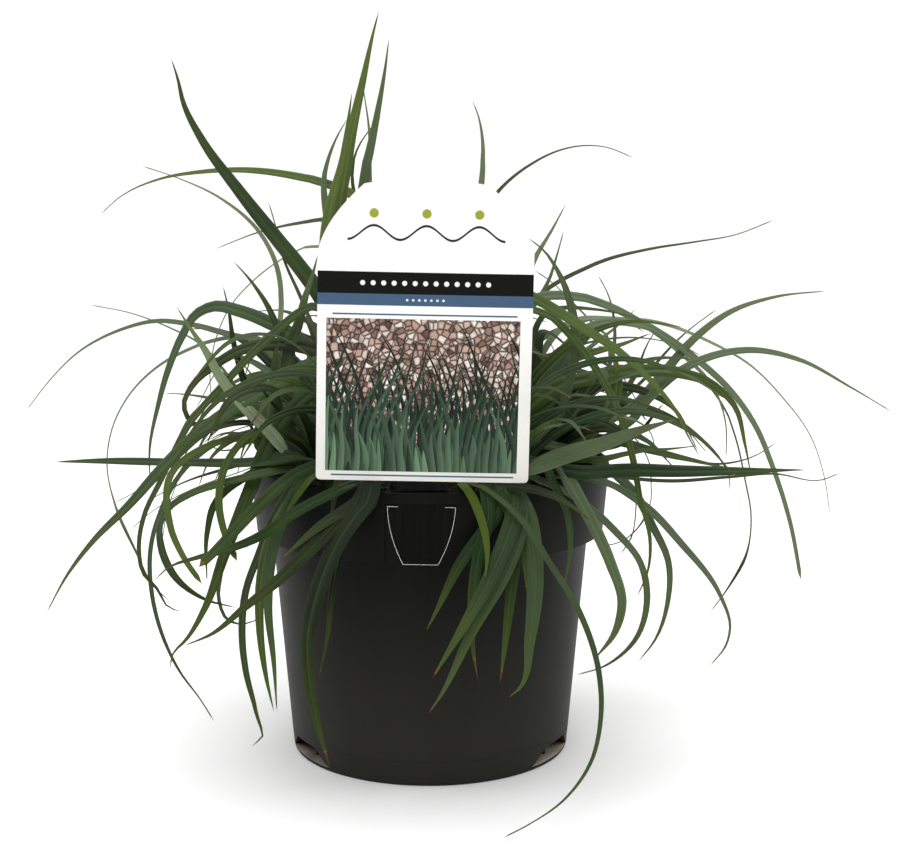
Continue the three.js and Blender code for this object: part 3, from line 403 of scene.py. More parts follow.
# ------------------------------------------------------------ The potting mix
# Damp peat and composted bark, filled to a finger's width below the rim and
# settled by watering. Crumbs and chips of bark lie loose on its top.
SOIL_TOP = 148
SOIL_RADIUS = 95.6
SOIL_RINGS = 40
SOIL_SIDES = 120
SOIL_WALL = ((93.3, 128.6), (85.4, 127.4), (75.2, 3.2))
SOIL_EDGE_DROP = 1.5
LUMPS = 0.05
LUMP_HEIGHT = 1.6
CRUMBS = 0.45
CRUMB_HEIGHT = 0.9
ROUND_DRAIN = 1.5
CHIPS = 620
CHIPS_WITHIN = 91

# Behind the panel the mix has a flat at its front, and a second one below the band.
# Each has its distance from the pot's axis and its half width.
BEHIND_PANEL = (92.3, 26.5)
BELOW_BAND = (89.6, 28)


def soil_ring(radius, flat):
    """The points of one ring of the mix, held back by a flat at the pot's front."""
    ring_points = []
    for side in range(SOIL_SIDES):
        angle = 2 * math.pi * side / SOIL_SIDES
        x, y = radius * math.cos(angle), radius * math.sin(angle)
        ring_points.append((x, max(y, -flat[0]) if abs(x) < flat[1] else y))
    return ring_points


soil_points, soil_faces = [], []
for ring in range(SOIL_RINGS + 1):
    for x, y in soil_ring(SOIL_RADIUS * ring / SOIL_RINGS, BEHIND_PANEL):
        lump = noise.fractal((x * LUMPS, y * LUMPS, 3.1), 1.0, 2.0, 4) * LUMP_HEIGHT
        crumb = noise.noise((x * CRUMBS, y * CRUMBS, 7.7)) * CRUMB_HEIGHT
        rise = SOIL_TOP + (lump + crumb if ring < SOIL_RINGS else -SOIL_EDGE_DROP)
        soil_points.append((x, y, rise))
for radius, height in SOIL_WALL:
    soil_points += [(x, y, height) for x, y in soil_ring(radius, BELOW_BAND)]
for ring in range(SOIL_RINGS + len(SOIL_WALL)):
    a, b = ring * SOIL_SIDES, (ring + 1) * SOIL_SIDES
    for side in range(SOIL_SIDES):
        after = (side + 1) % SOIL_SIDES
        soil_faces.append((a + side, b + side, b + after, a + after))
soil_faces.append(tuple(reversed(range(len(soil_points) - SOIL_SIDES, len(soil_points)))))


def seeded(seed):
    """Even draws between two values, always the same for the same seed."""
    state = [seed * 7919 + 17]

    def draw(low, high):
        state[0] = state[0] * 16807 % 2147483647
        return low + (high - low) * state[0] / 2147483647

    return draw


# Each chip is a box with worn corners, turned and tipped its own way.
BOX_CORNERS = [(x, y, z) for z in (-1, 1) for x, y in ((-1, -1), (1, -1), (1, 1), (-1, 1))]
draw = seeded(5)
for _ in range(CHIPS):
    radius, angle = CHIPS_WITHIN * math.sqrt(draw(0, 1)), draw(0, 2 * math.pi)
    middle = np.array([radius * math.cos(angle), radius * math.sin(angle), SOIL_TOP + draw(0, 1.6)])
    turn, size = draw(0, math.pi), draw(0.8, 3.2)
    cos, sin = math.cos(turn), math.sin(turn)
    shape = [size, size * draw(0.35, 0.7), size * draw(0.25, 0.5)]
    start = len(soil_points)
    for corner in BOX_CORNERS:
        x, y, z = [end * half * draw(0.55, 1) for end, half in zip(corner, shape)]
        soil_points.append(middle + [x * cos - y * sin, x * sin + y * cos, z + x * 0.25])
    for face in BOX_FACES:
        soil_faces.append(tuple(start + corner for corner in face))

soil = piece_from("potting_mix", soil_points, soil_faces)
for drain in DRAIN_TURNS:
    carve(soil, wedge(
        DRAIN_FOOT_HALF + ROUND_DRAIN, DRAIN_TOP_HALF + ROUND_DRAIN, DRAIN_INNER - 1, PAST_WALL,
        0, DRAIN_TOP + 1, drain), "DIFFERENCE")
peat = finish_of("peat_and_bark", 0.92, 0.2)
place = peat.node("TexCoord").outputs["Object"]
fibre = peat.speckle(place, 420, 6)
damp = peat.math("MULTIPLY", fibre, peat.speckle(place, 90, 3))
peat.feed(Base_Color=peat.ramp(damp, (0.12, srgb(14, 11, 8)), (0.42, srgb(62, 46, 33))))
peat.grain(fibre, 0.7, 0.0012)
soil.data.materials.append(peat.owner)
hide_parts("soil")
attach(soil, "root")


# ----------------------------------------------------------------- The label
# One sheet of coated card, die-cut: a tall card with a domed top, a neck that goes
# down through the slot in the rim, and a shield-shaped tab that the strap holds.
# The front is printed and varnished, and its back is plain.
CARD_THICK = 0.8
CARD_HALF = 53.6
CARD_FOOT = 168.4
CARD_SHOULDER = 283
CARD_TOP = 320
CARD_CORNER = 2.6
CARD_EDGE = 0.2
CARD_BOW = 0.9
BOW_RISE = 25
DOME_HALF = 31
DOME_EDGE = 316.8
NECK_HALF = 12
FUNNEL_HALF = 19.6
SHIELD_TOP = 155
SHIELD_HALF = 17.4
SHIELD_FOOT = 124.3
SHIELD_FOOT_HALF = 9
LABEL_X = -4.2
LABEL_TILT = math.radians(1.2)
LABEL_SETBACK = 0.45
BLUE_FOOT = 256.9
BLACK_FOOT = 262.7
BLACK_TOP = 273.6
PICTURE_LEFT = -49
PICTURE_RIGHT = 47.6
PICTURE_FOOT = 173.2
PICTURE_TOP = 250.3
RULES = ((252.1, 252.9), (170.7, 171.5))
RULE_HALF = 46
GARLAND_HALF = 39
GARLAND_WAVE = 26
GARLAND_MIDDLE = 293
GARLAND_SWING = 3.5
WHITE, BARE, TAB, PICTURE, BLACK, BLUE = range(6)


def bow(start, middle, end, steps):
    """The points of a three-point curve, without its start."""
    points = []
    for i in range(1, steps + 1):
        t = i / steps
        points.append(tuple(
            (1 - t) ** 2 * a + 2 * t * (1 - t) * b + t ** 2 * c
            for a, b, c in zip(start, middle, end)))
    return points


right_side = [(SHIELD_FOOT_HALF, SHIELD_FOOT)]
right_side += bow(right_side[0], (SHIELD_HALF - 0.6, SHIELD_FOOT + 15), (SHIELD_HALF, SHIELD_TOP), 10)
right_side += [(NECK_HALF, SHIELD_TOP), (NECK_HALF, RIM_TOP)]
right_side += bow((NECK_HALF, RIM_TOP), (NECK_HALF + 2.5, CARD_FOOT - 2.2), (FUNNEL_HALF, CARD_FOOT), 6)
right_side.append((CARD_HALF - CARD_CORNER, CARD_FOOT))
right_side += bow(right_side[-1], (CARD_HALF, CARD_FOOT), (CARD_HALF, CARD_FOOT + CARD_CORNER), 6)
right_side.append((CARD_HALF, CARD_SHOULDER))
right_side += bow(right_side[-1], (CARD_HALF - 3, CARD_SHOULDER + 16), (DOME_HALF, DOME_EDGE), 12)
dome = bow((DOME_HALF, DOME_EDGE), (0, CARD_TOP + 3), (-DOME_HALF, DOME_EDGE), 16)[:-1]
outline = right_side + dome + [(-x, z) for x, z in reversed(right_side)]

card = bmesh.new()
card.faces.new([card.verts.new((x, 0, z)) for x, z in outline])
card.normal_update()
cut_edge = bmesh.ops.inset_region(
    card, faces=card.faces[:], thickness=CARD_EDGE, use_even_offset=True, use_boundary=True)
for face in cut_edge["faces"]:
    face.material_index = BARE
bmesh.ops.triangulate(card, faces=card.faces[:])


def cut_card(place, normal):
    """Cuts the card's faces along a line, where a print ends or so that it can bow."""
    whole = card.verts[:] + card.edges[:] + card.faces[:]
    bmesh.ops.bisect_plane(card, geom=whole, plane_co=place, plane_no=normal, dist=0.0001)


across_cuts = [step * 4.0 for step in range(-13, 14)]
across_cuts += [PICTURE_LEFT, PICTURE_RIGHT, -RULE_HALF, RULE_HALF]
up_cuts = [step * 5.0 + 0.3 for step in range(26, 64)]
up_cuts += [BLUE_FOOT, BLACK_FOOT, BLACK_TOP, PICTURE_FOOT, PICTURE_TOP, CARD_FOOT, RIM_TOP]
up_cuts += [height for rule in RULES for height in rule]
for x in across_cuts:
    cut_card((x, 0, 0), (1, 0, 0))
for z in up_cuts:
    cut_card((0, 0, z), (0, 0, 1))
bmesh.ops.recalc_face_normals(card, faces=card.faces[:])
if card.faces[:][0].normal.y < 0:
    bmesh.ops.reverse_faces(card, faces=card.faces[:])
front = bmesh.ops.extrude_face_region(card, geom=card.faces[:])["geom"]
for item in front:
    if isinstance(item, bmesh.types.BMVert):
        item.co.y = -CARD_THICK
bmesh.ops.recalc_face_normals(card, faces=card.faces[:])


def print_at(x, z, at_edge):
    """What the card's front is printed with at a place."""
    if z < CARD_FOOT:
        return BARE if at_edge and z < SHIELD_TOP - 0.05 else TAB
    if PICTURE_LEFT < x < PICTURE_RIGHT and PICTURE_FOOT < z < PICTURE_TOP:
        return PICTURE
    if BLACK_FOOT < z < BLACK_TOP:
        return BLACK
    in_rule = abs(x) < RULE_HALF and any(low < z < high for low, high in RULES)
    return BLUE if in_rule or BLUE_FOOT < z < BLACK_FOOT else WHITE


print_marks = card.loops.layers.uv.new("print")
for face in card.faces:
    middle = face.calc_center_median()
    on_front = face.normal.y <= -0.9
    face.material_index = print_at(middle.x, middle.z, face.material_index == BARE) if on_front else BARE
    for loop in face.loops:
        loop[print_marks].uv = (loop.vert.co.x / 100, loop.vert.co.z / 100)

# The card bows forward above the rim and tilts a little to one side, and below the
# rim its tab leans with the sunk panel.
for vert in card.verts:
    x, y, z = vert.co
    bowed = CARD_BOW * min(1, max(0, z - RIM_TOP) / BOW_RISE) * (1 - (x / CARD_HALF) ** 2)
    y += -POCKET_BACK - LABEL_SETBACK - bowed
    tilted_z = (z - RIM_TOP) * math.cos(LABEL_TILT) - x * math.sin(LABEL_TILT) + RIM_TOP
    tilted_x = x * math.cos(LABEL_TILT) + (z - RIM_TOP) * math.sin(LABEL_TILT) + LABEL_X
    y += max(0, RIM_TOP - tilted_z) * BAND_SLOPE
    vert.co = (tilted_x / 1000, y / 1000, tilted_z / 1000)
card_mesh = bpy.data.meshes.new("card_label")
card.to_mesh(card_mesh)
card.free()
rounded(card_mesh, 40)
label = placed("card_label", card_mesh)


def print_finish(name, roughness, specular):
    """A card or ink finish, and the marks on the card: both, across it and up it."""
    finish = finish_of(name, roughness, specular)
    spot = finish.node("UVMap", uv_map="print").outputs["UV"]
    across, up, _ = finish.split(spot)
    return finish, spot, across, up


def beads(finish, across, up, pitch, middle, radius, reach):
    """A row of round dots along the card, as a mask; all sizes in millimetres."""
    steps = finish.math("MULTIPLY", across, 100 / pitch)
    whole = finish.math("ROUND", steps)
    sideways = finish.math("MULTIPLY", finish.math("SUBTRACT", steps, whole), pitch)
    upwards = finish.math("MULTIPLY_ADD", up, 100, -middle)
    both = finish.node("CombineXYZ", {0: sideways, 1: upwards}).outputs[0]
    far = finish.node("VectorMath", {0: both}, operation="LENGTH").outputs["Value"]
    dot = finish.span(far, radius + 0.1, radius - 0.1)
    kept = finish.math("LESS_THAN", finish.math("ABSOLUTE", whole), reach + 0.5)
    return finish.math("MULTIPLY", dot, kept)


# White coated card, greyer towards its foot as painted shade, with a plain garland
# across its top: a black waved line and olive dots.
white, spot, across, up = print_finish("card_white", 0.5, 0.2)
# Painted shade: the white is greyer towards the card's foot.
white_shaded_below = white.mix(white.span(up, 1.65, 2.4), srgb(221, 221, 213), srgb(244, 244, 242))
flecked = white.mix(0.02, white_shaded_below, white.speckle(spot, 60, 3, "Color"))
swing = white.math("COSINE", white.math("MULTIPLY", across, 200 * math.pi / GARLAND_WAVE))
waved = white.math("MULTIPLY_ADD", swing, GARLAND_SWING / 100, GARLAND_MIDDLE / 100)
from_line = white.math("ABSOLUTE", white.math("SUBTRACT", up, waved))
in_line = white.math("LESS_THAN", white.math("ABSOLUTE", across), GARLAND_HALF / 100)
garland = white.math("MULTIPLY", white.span(from_line, 0.0075, 0.0045), in_line)
lined = white.mix(garland, flecked, srgb(24, 18, 16))
fruit = beads(white, across, up, pitch=GARLAND_WAVE, middle=302.5, radius=2.3, reach=1)
white.feed(Base_Color=white.mix(fruit, lined, srgb(150, 158, 50)))

# Bare card on the back and on the cut edges.
bare, spot, _, _ = print_finish("card_back", 0.75, 0.25)
fibre = bare.speckle(spot, 90, 5)
bare.feed(Base_Color=bare.ramp(fibre, (0, srgb(226, 224, 217)), (1, srgb(242, 241, 236))))

# The tab is black and varnished, with a thin pale line round its shield and faint
# upright rubs from the strap.
tab, spot, _, _ = print_finish("tab_gloss_black", 0.24, 0.05)
rubs = tab.speckle(tab.stretch(spot, (28, 0.8, 1)), 1, 3)
tab.feed(Base_Color=tab.ramp(rubs, (0.45, srgb(4, 5, 3)), (0.75, srgb(17, 18, 15))))

# The picture: a border of upright grass blades, before gravel of pink and buff chips.
# Each layer is a row of blades that lean one way, every blade of its own height. A
# layer has its blades' pitch, lean, least and greatest height, and two tones.
LAYERS = (
    (3.6, 0.004, 40, 80, (8, 13, 10), (30, 46, 36)),
    (3.1, -0.003, 36, 76, (10, 18, 14), (40, 66, 50)),
    (4.2, 0.001, 24, 70, (8, 14, 10), (46, 70, 52)),
    (3.3, -0.006, 18, 62, (14, 26, 20), (66, 94, 72)),
    (4.7, 0.007, 10, 52, (16, 28, 20), (84, 112, 84)),
    (3.9, -0.002, 4, 40, (22, 38, 28), (104, 132, 104)),
)
picture, spot, across, up = print_finish("card_picture", 0.45, 0.15)
stone = picture.split(picture.node("TexVoronoi", {"Vector": spot, "Scale": 32}).outputs["Color"])[0]
stones = picture.ramp(
    stone, (0, srgb(96, 70, 62)), (0.5, srgb(190, 158, 142)), (1, srgb(244, 236, 226)))
stone_edge = picture.node("TexVoronoi", {"Vector": spot, "Scale": 32}, feature="DISTANCE_TO_EDGE")
between = picture.span(stone_edge.outputs["Distance"], 0, 0.22)
print_tone = picture.mix(between, srgb(34, 26, 23), stones)
height = picture.math("MULTIPLY_ADD", up, 100, -PICTURE_FOOT)
arch = picture.math("POWER", height, 2)
sway = picture.speckle(spot, 2.5, 1)
for pitch, lean, short, tall, dark, light in LAYERS:
    swayed = picture.math("MULTIPLY_ADD", sway, 8, picture.math("MULTIPLY", arch, lean))
    along_row = picture.math("MULTIPLY_ADD", across, 100, swayed)
    counted = picture.math("MULTIPLY_ADD", along_row, 1 / pitch, pitch * 7)
    number = picture.math("FLOOR", counted)
    own = picture.node("TexWhiteNoise", {"W": number}, noise_dimensions="1D").outputs["Color"]
    own_height, own_light, _ = picture.split(own)
    risen = picture.math("DIVIDE", height, picture.span(own_height, 0, 1, short, tall))
    left_over = picture.math("SUBTRACT", 1, risen, use_clamp=True)
    blade_half = picture.math("MULTIPLY", picture.math("POWER", left_over, 0.6), 0.42)
    off_middle = picture.math("SUBTRACT", picture.math("SUBTRACT", counted, number), 0.5)
    in_blade = picture.math("LESS_THAN", picture.math("ABSOLUTE", off_middle), blade_half)
    lit = picture.math("MULTIPLY_ADD", off_middle, 0.5, own_light)
    print_tone = picture.mix(in_blade, print_tone, picture.mix(lit, srgb(*dark), srgb(*light)))
picture.feed(Base_Color=print_tone)


def band_finish(name, ink, **dots):
    """A band of ink with a row of white dots."""
    band, spot, across, up = print_finish(name, 0.5, 0.06)
    solid = band.mix(0.008, ink, band.speckle(spot, 120, 3, "Color"))
    row = beads(band, across, up, **dots)
    band.feed(Base_Color=band.mix(row, solid, srgb(236, 236, 234)))
    return band


black = band_finish("band_black", srgb(9, 10, 7), pitch=5.2, middle=268.1, radius=1.25, reach=6)
blue = band_finish("band_blue", srgb(68, 92, 119), pitch=3, middle=259.8, radius=0.6, reach=3)
for finish in (white, bare, tab, picture, black, blue):
    card_mesh.materials.append(finish.owner)
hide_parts("label")
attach(label, "root")


# ------------------------------------------------------ The shoots and leaves
# The sedge is a clump of eighteen shoots. Each has a ribbed sheath at the soil and
# long arching leaves, folded to a shallow M with a pale midrib. They are grey-green
# and matt, yellower beneath (partly painted light shining through), and some are dry
# at the tip. Each shoot is one piece.
# They stand in three rings. A ring has its count of shoots, its radius, the first
# one's bearing in degrees, and how far their leaves turn to either side in radians.
RINGS = ((10, 60, 18, 0.6), (6, 34, 0, 0.6), (2, 11, 90, 3))
Shoot = namedtuple("Shoot", "x y bearing spread")
shoots = []
for count, radius, turn, spread in RINGS:
    for i in range(count):
        bearing = math.radians(turn + 360 * i / count)
        shoots.append(Shoot(radius * math.cos(bearing), radius * math.sin(bearing), bearing, spread))

# The leaves that show from the front, one by one: the shoot, how far back the tip
# lies, the width, the tint, and the course on an upright sheet, from the tip down. A
# tint in capitals marks a leaf that was clipped short, so that its end is blunt.
DRAWN = [
    (0, 60, 7, "k", [
        (726, 460), (725, 420), (712, 385), (685, 357), (645, 325), (598, 302), (565, 294), (542, 297)]),
    (0, 30, 4, "m", [(650, 323), (625, 315), (600, 310), (565, 308)]),
    (0, 140, 4.5, "j", [
        (830, 515), (825, 480), (810, 435), (782, 397), (750, 365), (710, 342), (660, 323), (610, 319),
        (580, 320)]),
    (0, 110, 2.5, "m", [(717, 309), (682, 336), (655, 365), (640, 385)]),
    (0, 50, 3, "k", [(598, 275), (609, 297), (614, 320), (614, 345)]),
    (0, 60, 8, "l", [(652, 333), (620, 345), (590, 353), (560, 364), (536, 380)]),
    (0, 90, 6.5, "g", [
        (710, 613), (730, 585), (746, 555), (751, 517), (745, 480), (733, 430), (716, 392), (700, 378)]),
    (0, 10, 6.5, "m", [(740, 471), (700, 462), (650, 450), (612, 440), (562, 439), (532, 443)]),
    (0, 100, 3, "e", [(777, 442), (757, 455), (720, 464), (700, 463), (680, 459)]),
    (0, 40, 7, "n", [(728, 492), (730, 482), (722, 462), (700, 438), (670, 417), (640, 406), (610, 402)]),
    (0, 25, 6, "e", [(664, 403), (654, 415), (640, 432), (625, 442)]),
    (0, 80, 3, "n", [(599, 547), (622, 541), (645, 517), (651, 500), (651, 482), (650, 455)]),
    (0, 60, 5, "o", [(620, 555), (630, 540), (636, 505), (634, 470), (630, 440)]),
    (0, 20, 7.5, "d", [(548, 405), (552, 385), (545, 360), (536, 345)]),
    (0, 60, 7, "g", [(592, 398), (583, 375), (573, 352), (560, 335)]),
    (0, 30, 8, "g", [(640, 372), (622, 395), (600, 415), (575, 440)]),
    (1, 160, 3, "k", [(534, 270), (550, 281), (575, 305), (600, 330), (612, 340)]),
    (1, 140, 5, "k", [(636, 309), (615, 328), (590, 347)]),
    (1, 120, 4, "m", [(658, 327), (647, 345), (638, 368), (630, 385)]),
    (1, 150, 3.5, "m", [(703, 357), (680, 345), (655, 340), (620, 338)]),
    (1, 100, 4.5, "k", [(560, 378), (556, 358), (550, 342), (540, 330)]),
    (2, 190, 3, "m", [(130, 530), (150, 513), (165, 503), (200, 486), (240, 472)]),
    (2, 135, 5, "d", [(145, 502), (190, 480), (230, 468)]),
    (3, 170, 5.5, "j", [
        (213, 410), (210, 376), (215, 342), (232, 304), (254, 280), (284, 258), (320, 244)]),
    (3, 150, 2.5, "m", [(162, 544), (164, 528), (172, 496), (178, 476)]),
    (3, 140, 5, "m", [(163, 393), (190, 395), (215, 399), (240, 404)]),
    (3, 110, 4.5, "d", [(281, 330), (300, 333), (318, 341)]),
    (4, 60, 5.5, "e", [(223, 286), (229, 312), (233, 340), (240, 368), (248, 395)]),
    (4, 90, 5.5, "p", [
        (26, 411), (50, 380), (80, 351), (120, 330), (156, 321), (194, 325), (236, 336), (262, 340)]),
    (4, 160, 2.5, "k", [(90, 305), (130, 313), (170, 328), (200, 344), (222, 368), (240, 392)]),
    (4, 120, 5, "k", [
        (170, 602), (152, 584), (137, 554), (115, 504), (107, 465), (113, 426), (130, 394), (160, 365),
        (192, 348), (220, 338), (240, 337)]),
    (4, 20, 4, "m", [
        (214, 721), (200, 699), (180, 672), (162, 634), (152, 594), (151, 546), (160, 514), (174, 490),
        (184, 470)]),
    (4, 160, 3, "m", [(114, 503), (130, 495), (155, 477)]),
    (4, 100, 3, "m", [(205, 352), (218, 368), (230, 381), (243, 398)]),
    (4, 10, 5, "p", [(245, 410), (251, 426), (258, 446)]),
    (4, 90, 5, "m", [(205, 400), (235, 388), (262, 380), (300, 372)]),
    (4, 30, 9, "p", [(303, 316), (313, 335), (318, 365)]),
    (5, -20, 8, "p", [(318, 254), (314, 270), (305, 298), (298, 325), (288, 352)]),
    (5, -20, 7, "j", [(176, 306), (190, 328), (205, 350), (222, 380), (246, 408), (270, 432), (292, 458)]),
    (5, -20, 11, "d", [
        (218, 425), (200, 426), (188, 418), (184, 404), (192, 386), (216, 364), (246, 348), (280, 344),
        (316, 347)]),
    (5, -40, 9, "n", [
        (183, 612), (168, 607), (158, 590), (143, 572), (139, 550), (144, 516), (160, 482), (192, 420),
        (222, 386), (256, 350), (284, 325), (317, 307)]),
    (5, -70, 8.5, "m", [
        (46, 614), (68, 574), (94, 540), (128, 506), (164, 466), (200, 432), (240, 404), (280, 383),
        (316, 364)]),
    (5, -30, 13, "e", [(55, 462), (100, 461), (180, 462), (250, 462), (310, 456)]),
    (5, -60, 7, "g", [
        (237, 608), (204, 599), (176, 578), (161, 546), (160, 526), (170, 507), (190, 494), (230, 481),
        (270, 472), (314, 467)]),
    (5, -90, 4, "L", [(202, 584), (184, 558), (170, 526), (166, 498), (168, 482)]),
    (5, -100, 4.5, "O", [
        (237, 561), (225, 534), (219, 504), (222, 476), (232, 454), (244, 440), (258, 430)]),
    (5, -85, 5, "e", [(207, 582), (207, 534), (216, 502), (232, 487)]),
    (5, -110, 9, "n", [
        (170, 669), (173, 654), (186, 640), (204, 610), (226, 550), (250, 490), (276, 430), (300, 402),
        (316, 391)]),
    (5, -125, 8, "d", [(184, 646), (212, 634), (244, 608), (276, 582), (316, 544), (352, 508), (378, 487)]),
    (5, -60, 4, "m", [
        (266, 612), (252, 622), (240, 624), (229, 621), (219, 600), (221, 574), (228, 545), (243, 505),
        (262, 470)]),
    (5, -25, 10, "k", [(283, 345), (277, 365), (271, 390), (266, 415), (262, 445)]),
    (5, -30, 5, "m", [(290, 325), (279, 342), (274, 365), (276, 395)]),
    (5, -60, 3, "g", [(230, 356), (245, 367), (257, 383), (268, 398)]),
    (5, -40, 3, "g", [(208, 442), (218, 450), (231, 450), (244, 446), (258, 438)]),
    (5, -10, 4.5, "k", [(209, 440), (222, 434), (238, 434), (252, 439), (262, 448)]),
    (5, -135, 11, "d", [
        (330, 768), (317, 722), (309, 678), (308, 633), (318, 589), (347, 527), (372, 498), (384, 487)]),
    (5, -120, 5, "d", [(319, 678), (328, 633), (331, 600), (340, 552), (354, 515), (368, 487)]),
    (5, -115, 7.5, "d", [(280, 560), (320, 526), (356, 503), (376, 487)]),
    (6, -70, 7, "n", [
        (251, 747), (254, 743), (260, 741), (256, 712), (246, 672), (242, 630), (246, 590), (259, 554),
        (276, 512), (296, 480)]),
    (6, -80, 8, "o", [(274, 712), (266, 676), (260, 630), (262, 570), (273, 530), (297, 492), (312, 474)]),
    (6, -95, 6, "m", [(277, 712), (274, 664), (268, 602), (274, 545), (292, 500), (308, 476)]),
    (7, -151, 3.2, "m", [
        (503, 838), (530, 824), (564, 800), (591, 762), (601, 715), (599, 673), (578, 609), (549, 562),
        (520, 518), (485, 489)]),
    (7, -118, 7, "e", [(478, 681), (473, 649), (472, 604), (477, 564), (488, 520), (497, 489)]),
    (8, -100, 10.5, "p", [(677, 419), (635, 432), (600, 445), (565, 455), (532, 468)]),
    (8, -70, 4.5, "k", [(597, 433), (580, 427), (562, 425), (545, 428), (530, 434)]),
    (8, -110, 5.5, "g", [(564, 587), (570, 553), (567, 513), (551, 478), (540, 455)]),
    (9, -100, 6.5, "l", [
        (700, 457), (690, 440), (675, 410), (650, 380), (617, 350), (582, 327), (555, 308), (535, 295)]),
    (9, 0, 5.5, "k", [
        (892, 412), (850, 387), (800, 360), (750, 350), (712, 356), (680, 371), (650, 397), (622, 432)]),
    (9, -20, 10, "o", [
        (751, 476), (745, 445), (734, 405), (712, 384), (675, 372), (625, 372), (572, 382), (535, 390)]),
    (9, -60, 10.5, "e", [(806, 470), (730, 471), (680, 471), (630, 470), (580, 472), (530, 467)]),
    (9, -5, 2.5, "g", [(840, 473), (822, 480), (775, 474), (730, 477), (670, 481), (610, 475), (575, 466)]),
    (9, -25, 5, "p", [(571, 415), (585, 419), (600, 414), (608, 402), (612, 380)]),
    (9, -25, 4.5, "k", [(577, 414), (560, 422), (545, 427), (530, 431)]),
    (9, -5, 4.5, "o", [(697, 446), (670, 449), (640, 451), (610, 458)]),
    (9, -110, 9.5, "p", [
        (594, 660), (615, 632), (622, 602), (611, 564), (591, 520), (572, 485), (560, 465)]),
    (9, -30, 5.5, "p", [
        (710, 666), (726, 645), (730, 627), (720, 595), (680, 542), (650, 510), (610, 484), (570, 474)]),
    (9, -20, 3, "j", [(655, 448), (650, 432), (640, 423), (620, 418)]),
    (9, -20, 8, "l", [(596, 345), (611, 352), (617, 370), (614, 400)]),
    (9, -25, 9.5, "m", [(575, 400), (566, 415), (556, 437), (546, 458)]),
    (10, 150, 3, "m", [(774, 220), (735, 235), (695, 242), (650, 249), (600, 262), (562, 281), (545, 291)]),
    (10, 20, 6, "j", [(566, 204), (552, 230), (534, 260)]),
    (10, 30, 7.5, "k", [(826, 291), (775, 297), (730, 312), (697, 336), (660, 377), (635, 405)]),
    (10, 30, 6, "K", [
        (801, 580), (790, 522), (772, 465), (755, 425), (730, 390), (700, 362), (660, 333), (640, 322)]),
    (10, -40, 5, "p", [
        (577, 675), (605, 666), (637, 637), (647, 600), (640, 562), (615, 531), (590, 508), (560, 488),
        (540, 480)]),
    (11, 60, 6.5, "j", [(472, 100), (478, 115), (482, 135), (483, 155), (480, 181)]),
    (11, 130, 4, "g", [(634, 158), (605, 147), (580, 146), (555, 152), (530, 165), (500, 189)]),
    (12, 70, 7, "k", [(348, 118), (338, 135), (328, 160), (323, 187), (328, 222)]),
    (12, 80, 4, "j", [(361, 76), (365, 100), (369, 130), (369, 160)]),
    (12, 90, 4, "g", [(382, 116), (368, 132), (357, 150), (353, 165), (355, 182)]),
    (12, 130, 5, "m", [(215, 249), (260, 232), (300, 223), (330, 220)]),
    (13, 0, 9, "l", [(352, 92), (349, 115), (344, 150), (338, 185), (328, 217)]),
    (13, 40, 11, "g", [(171, 58), (178, 80), (183, 102), (202, 140), (240, 192), (278, 240), (310, 280)]),
    (13, 110, 7, "l", [(100, 215), (120, 197), (160, 179), (200, 172), (244, 170), (300, 177), (349, 191)]),
    (13, 150, 3.5, "j", [
        (142, 166), (180, 179), (220, 198), (260, 233), (276, 264), (281, 300), (278, 322)]),
    (13, 30, 3, "k", [(268, 201), (273, 217), (284, 260), (300, 296), (314, 330)]),
    (13, -10, 6.5, "g", [(233, 261), (250, 280), (266, 303), (277, 322), (284, 342)]),
    (13, 20, 10, "m", [
        (150, 484), (150, 446), (158, 406), (168, 370), (182, 336), (196, 314), (214, 306), (240, 311),
        (276, 326)]),
    (14, -100, 6, "e", [
        (154, 581), (168, 568), (196, 558), (226, 550), (264, 534), (291, 515), (328, 495), (350, 485)]),
    (14, -130, 7, "E", [(199, 567), (226, 540), (256, 508), (286, 481), (305, 470)]),
    (15, -50, 7, "p", [
        (527, 237), (545, 252), (556, 268), (567, 292), (573, 315), (576, 345), (568, 385), (556, 425)]),
    (15, -45, 6.5, "p", [
        (638, 662), (655, 640), (668, 600), (668, 560), (652, 525), (636, 495), (620, 478)]),
    (15, -112, 7.5, "e", [(426, 631), (435, 614), (460, 564), (491, 522), (503, 502), (509, 488)]),
    (15, -134, 9.5, "g", [(432, 679), (462, 629), (489, 580), (509, 533), (520, 500), (526, 488)]),
    (15, -131, 8, "m", [
        (428, 714), (436, 703), (473, 629), (507, 567), (517, 540), (521, 505), (520, 488)]),
    (15, -112, 7, "n", [(500, 684), (505, 644), (512, 582), (516, 545), (509, 505), (502, 489)]),
    (15, -116, 10, "m", [
        (508, 698), (519, 689), (530, 638), (535, 580), (533, 550), (525, 510), (514, 488)]),
    (15, -108, 5, "e", [(527, 594), (524, 560), (520, 527), (508, 502), (497, 489)]),
    (15, -112, 5.5, "d", [(590, 520), (560, 499), (532, 489), (510, 486)]),
    (16, 20, 11, "l", [(379, 11), (374, 30), (363, 80), (350, 140), (343, 180), (335, 215)]),
    (16, 50, 8.5, "k", [(389, 38), (385, 70), (378, 110), (370, 150), (362, 185)]),
    (16, 60, 4.5, "k", [(564, 230), (555, 262), (549, 280), (538, 298)]),
    (17, -80, 8, "o", [
        (637, 597), (648, 570), (650, 540), (640, 498), (632, 455), (620, 415), (598, 372), (572, 337),
        (550, 315), (535, 305)]),
    (17, -120, 5.5, "y", [(485, 580), (487, 549), (479, 513), (468, 490)]),
]

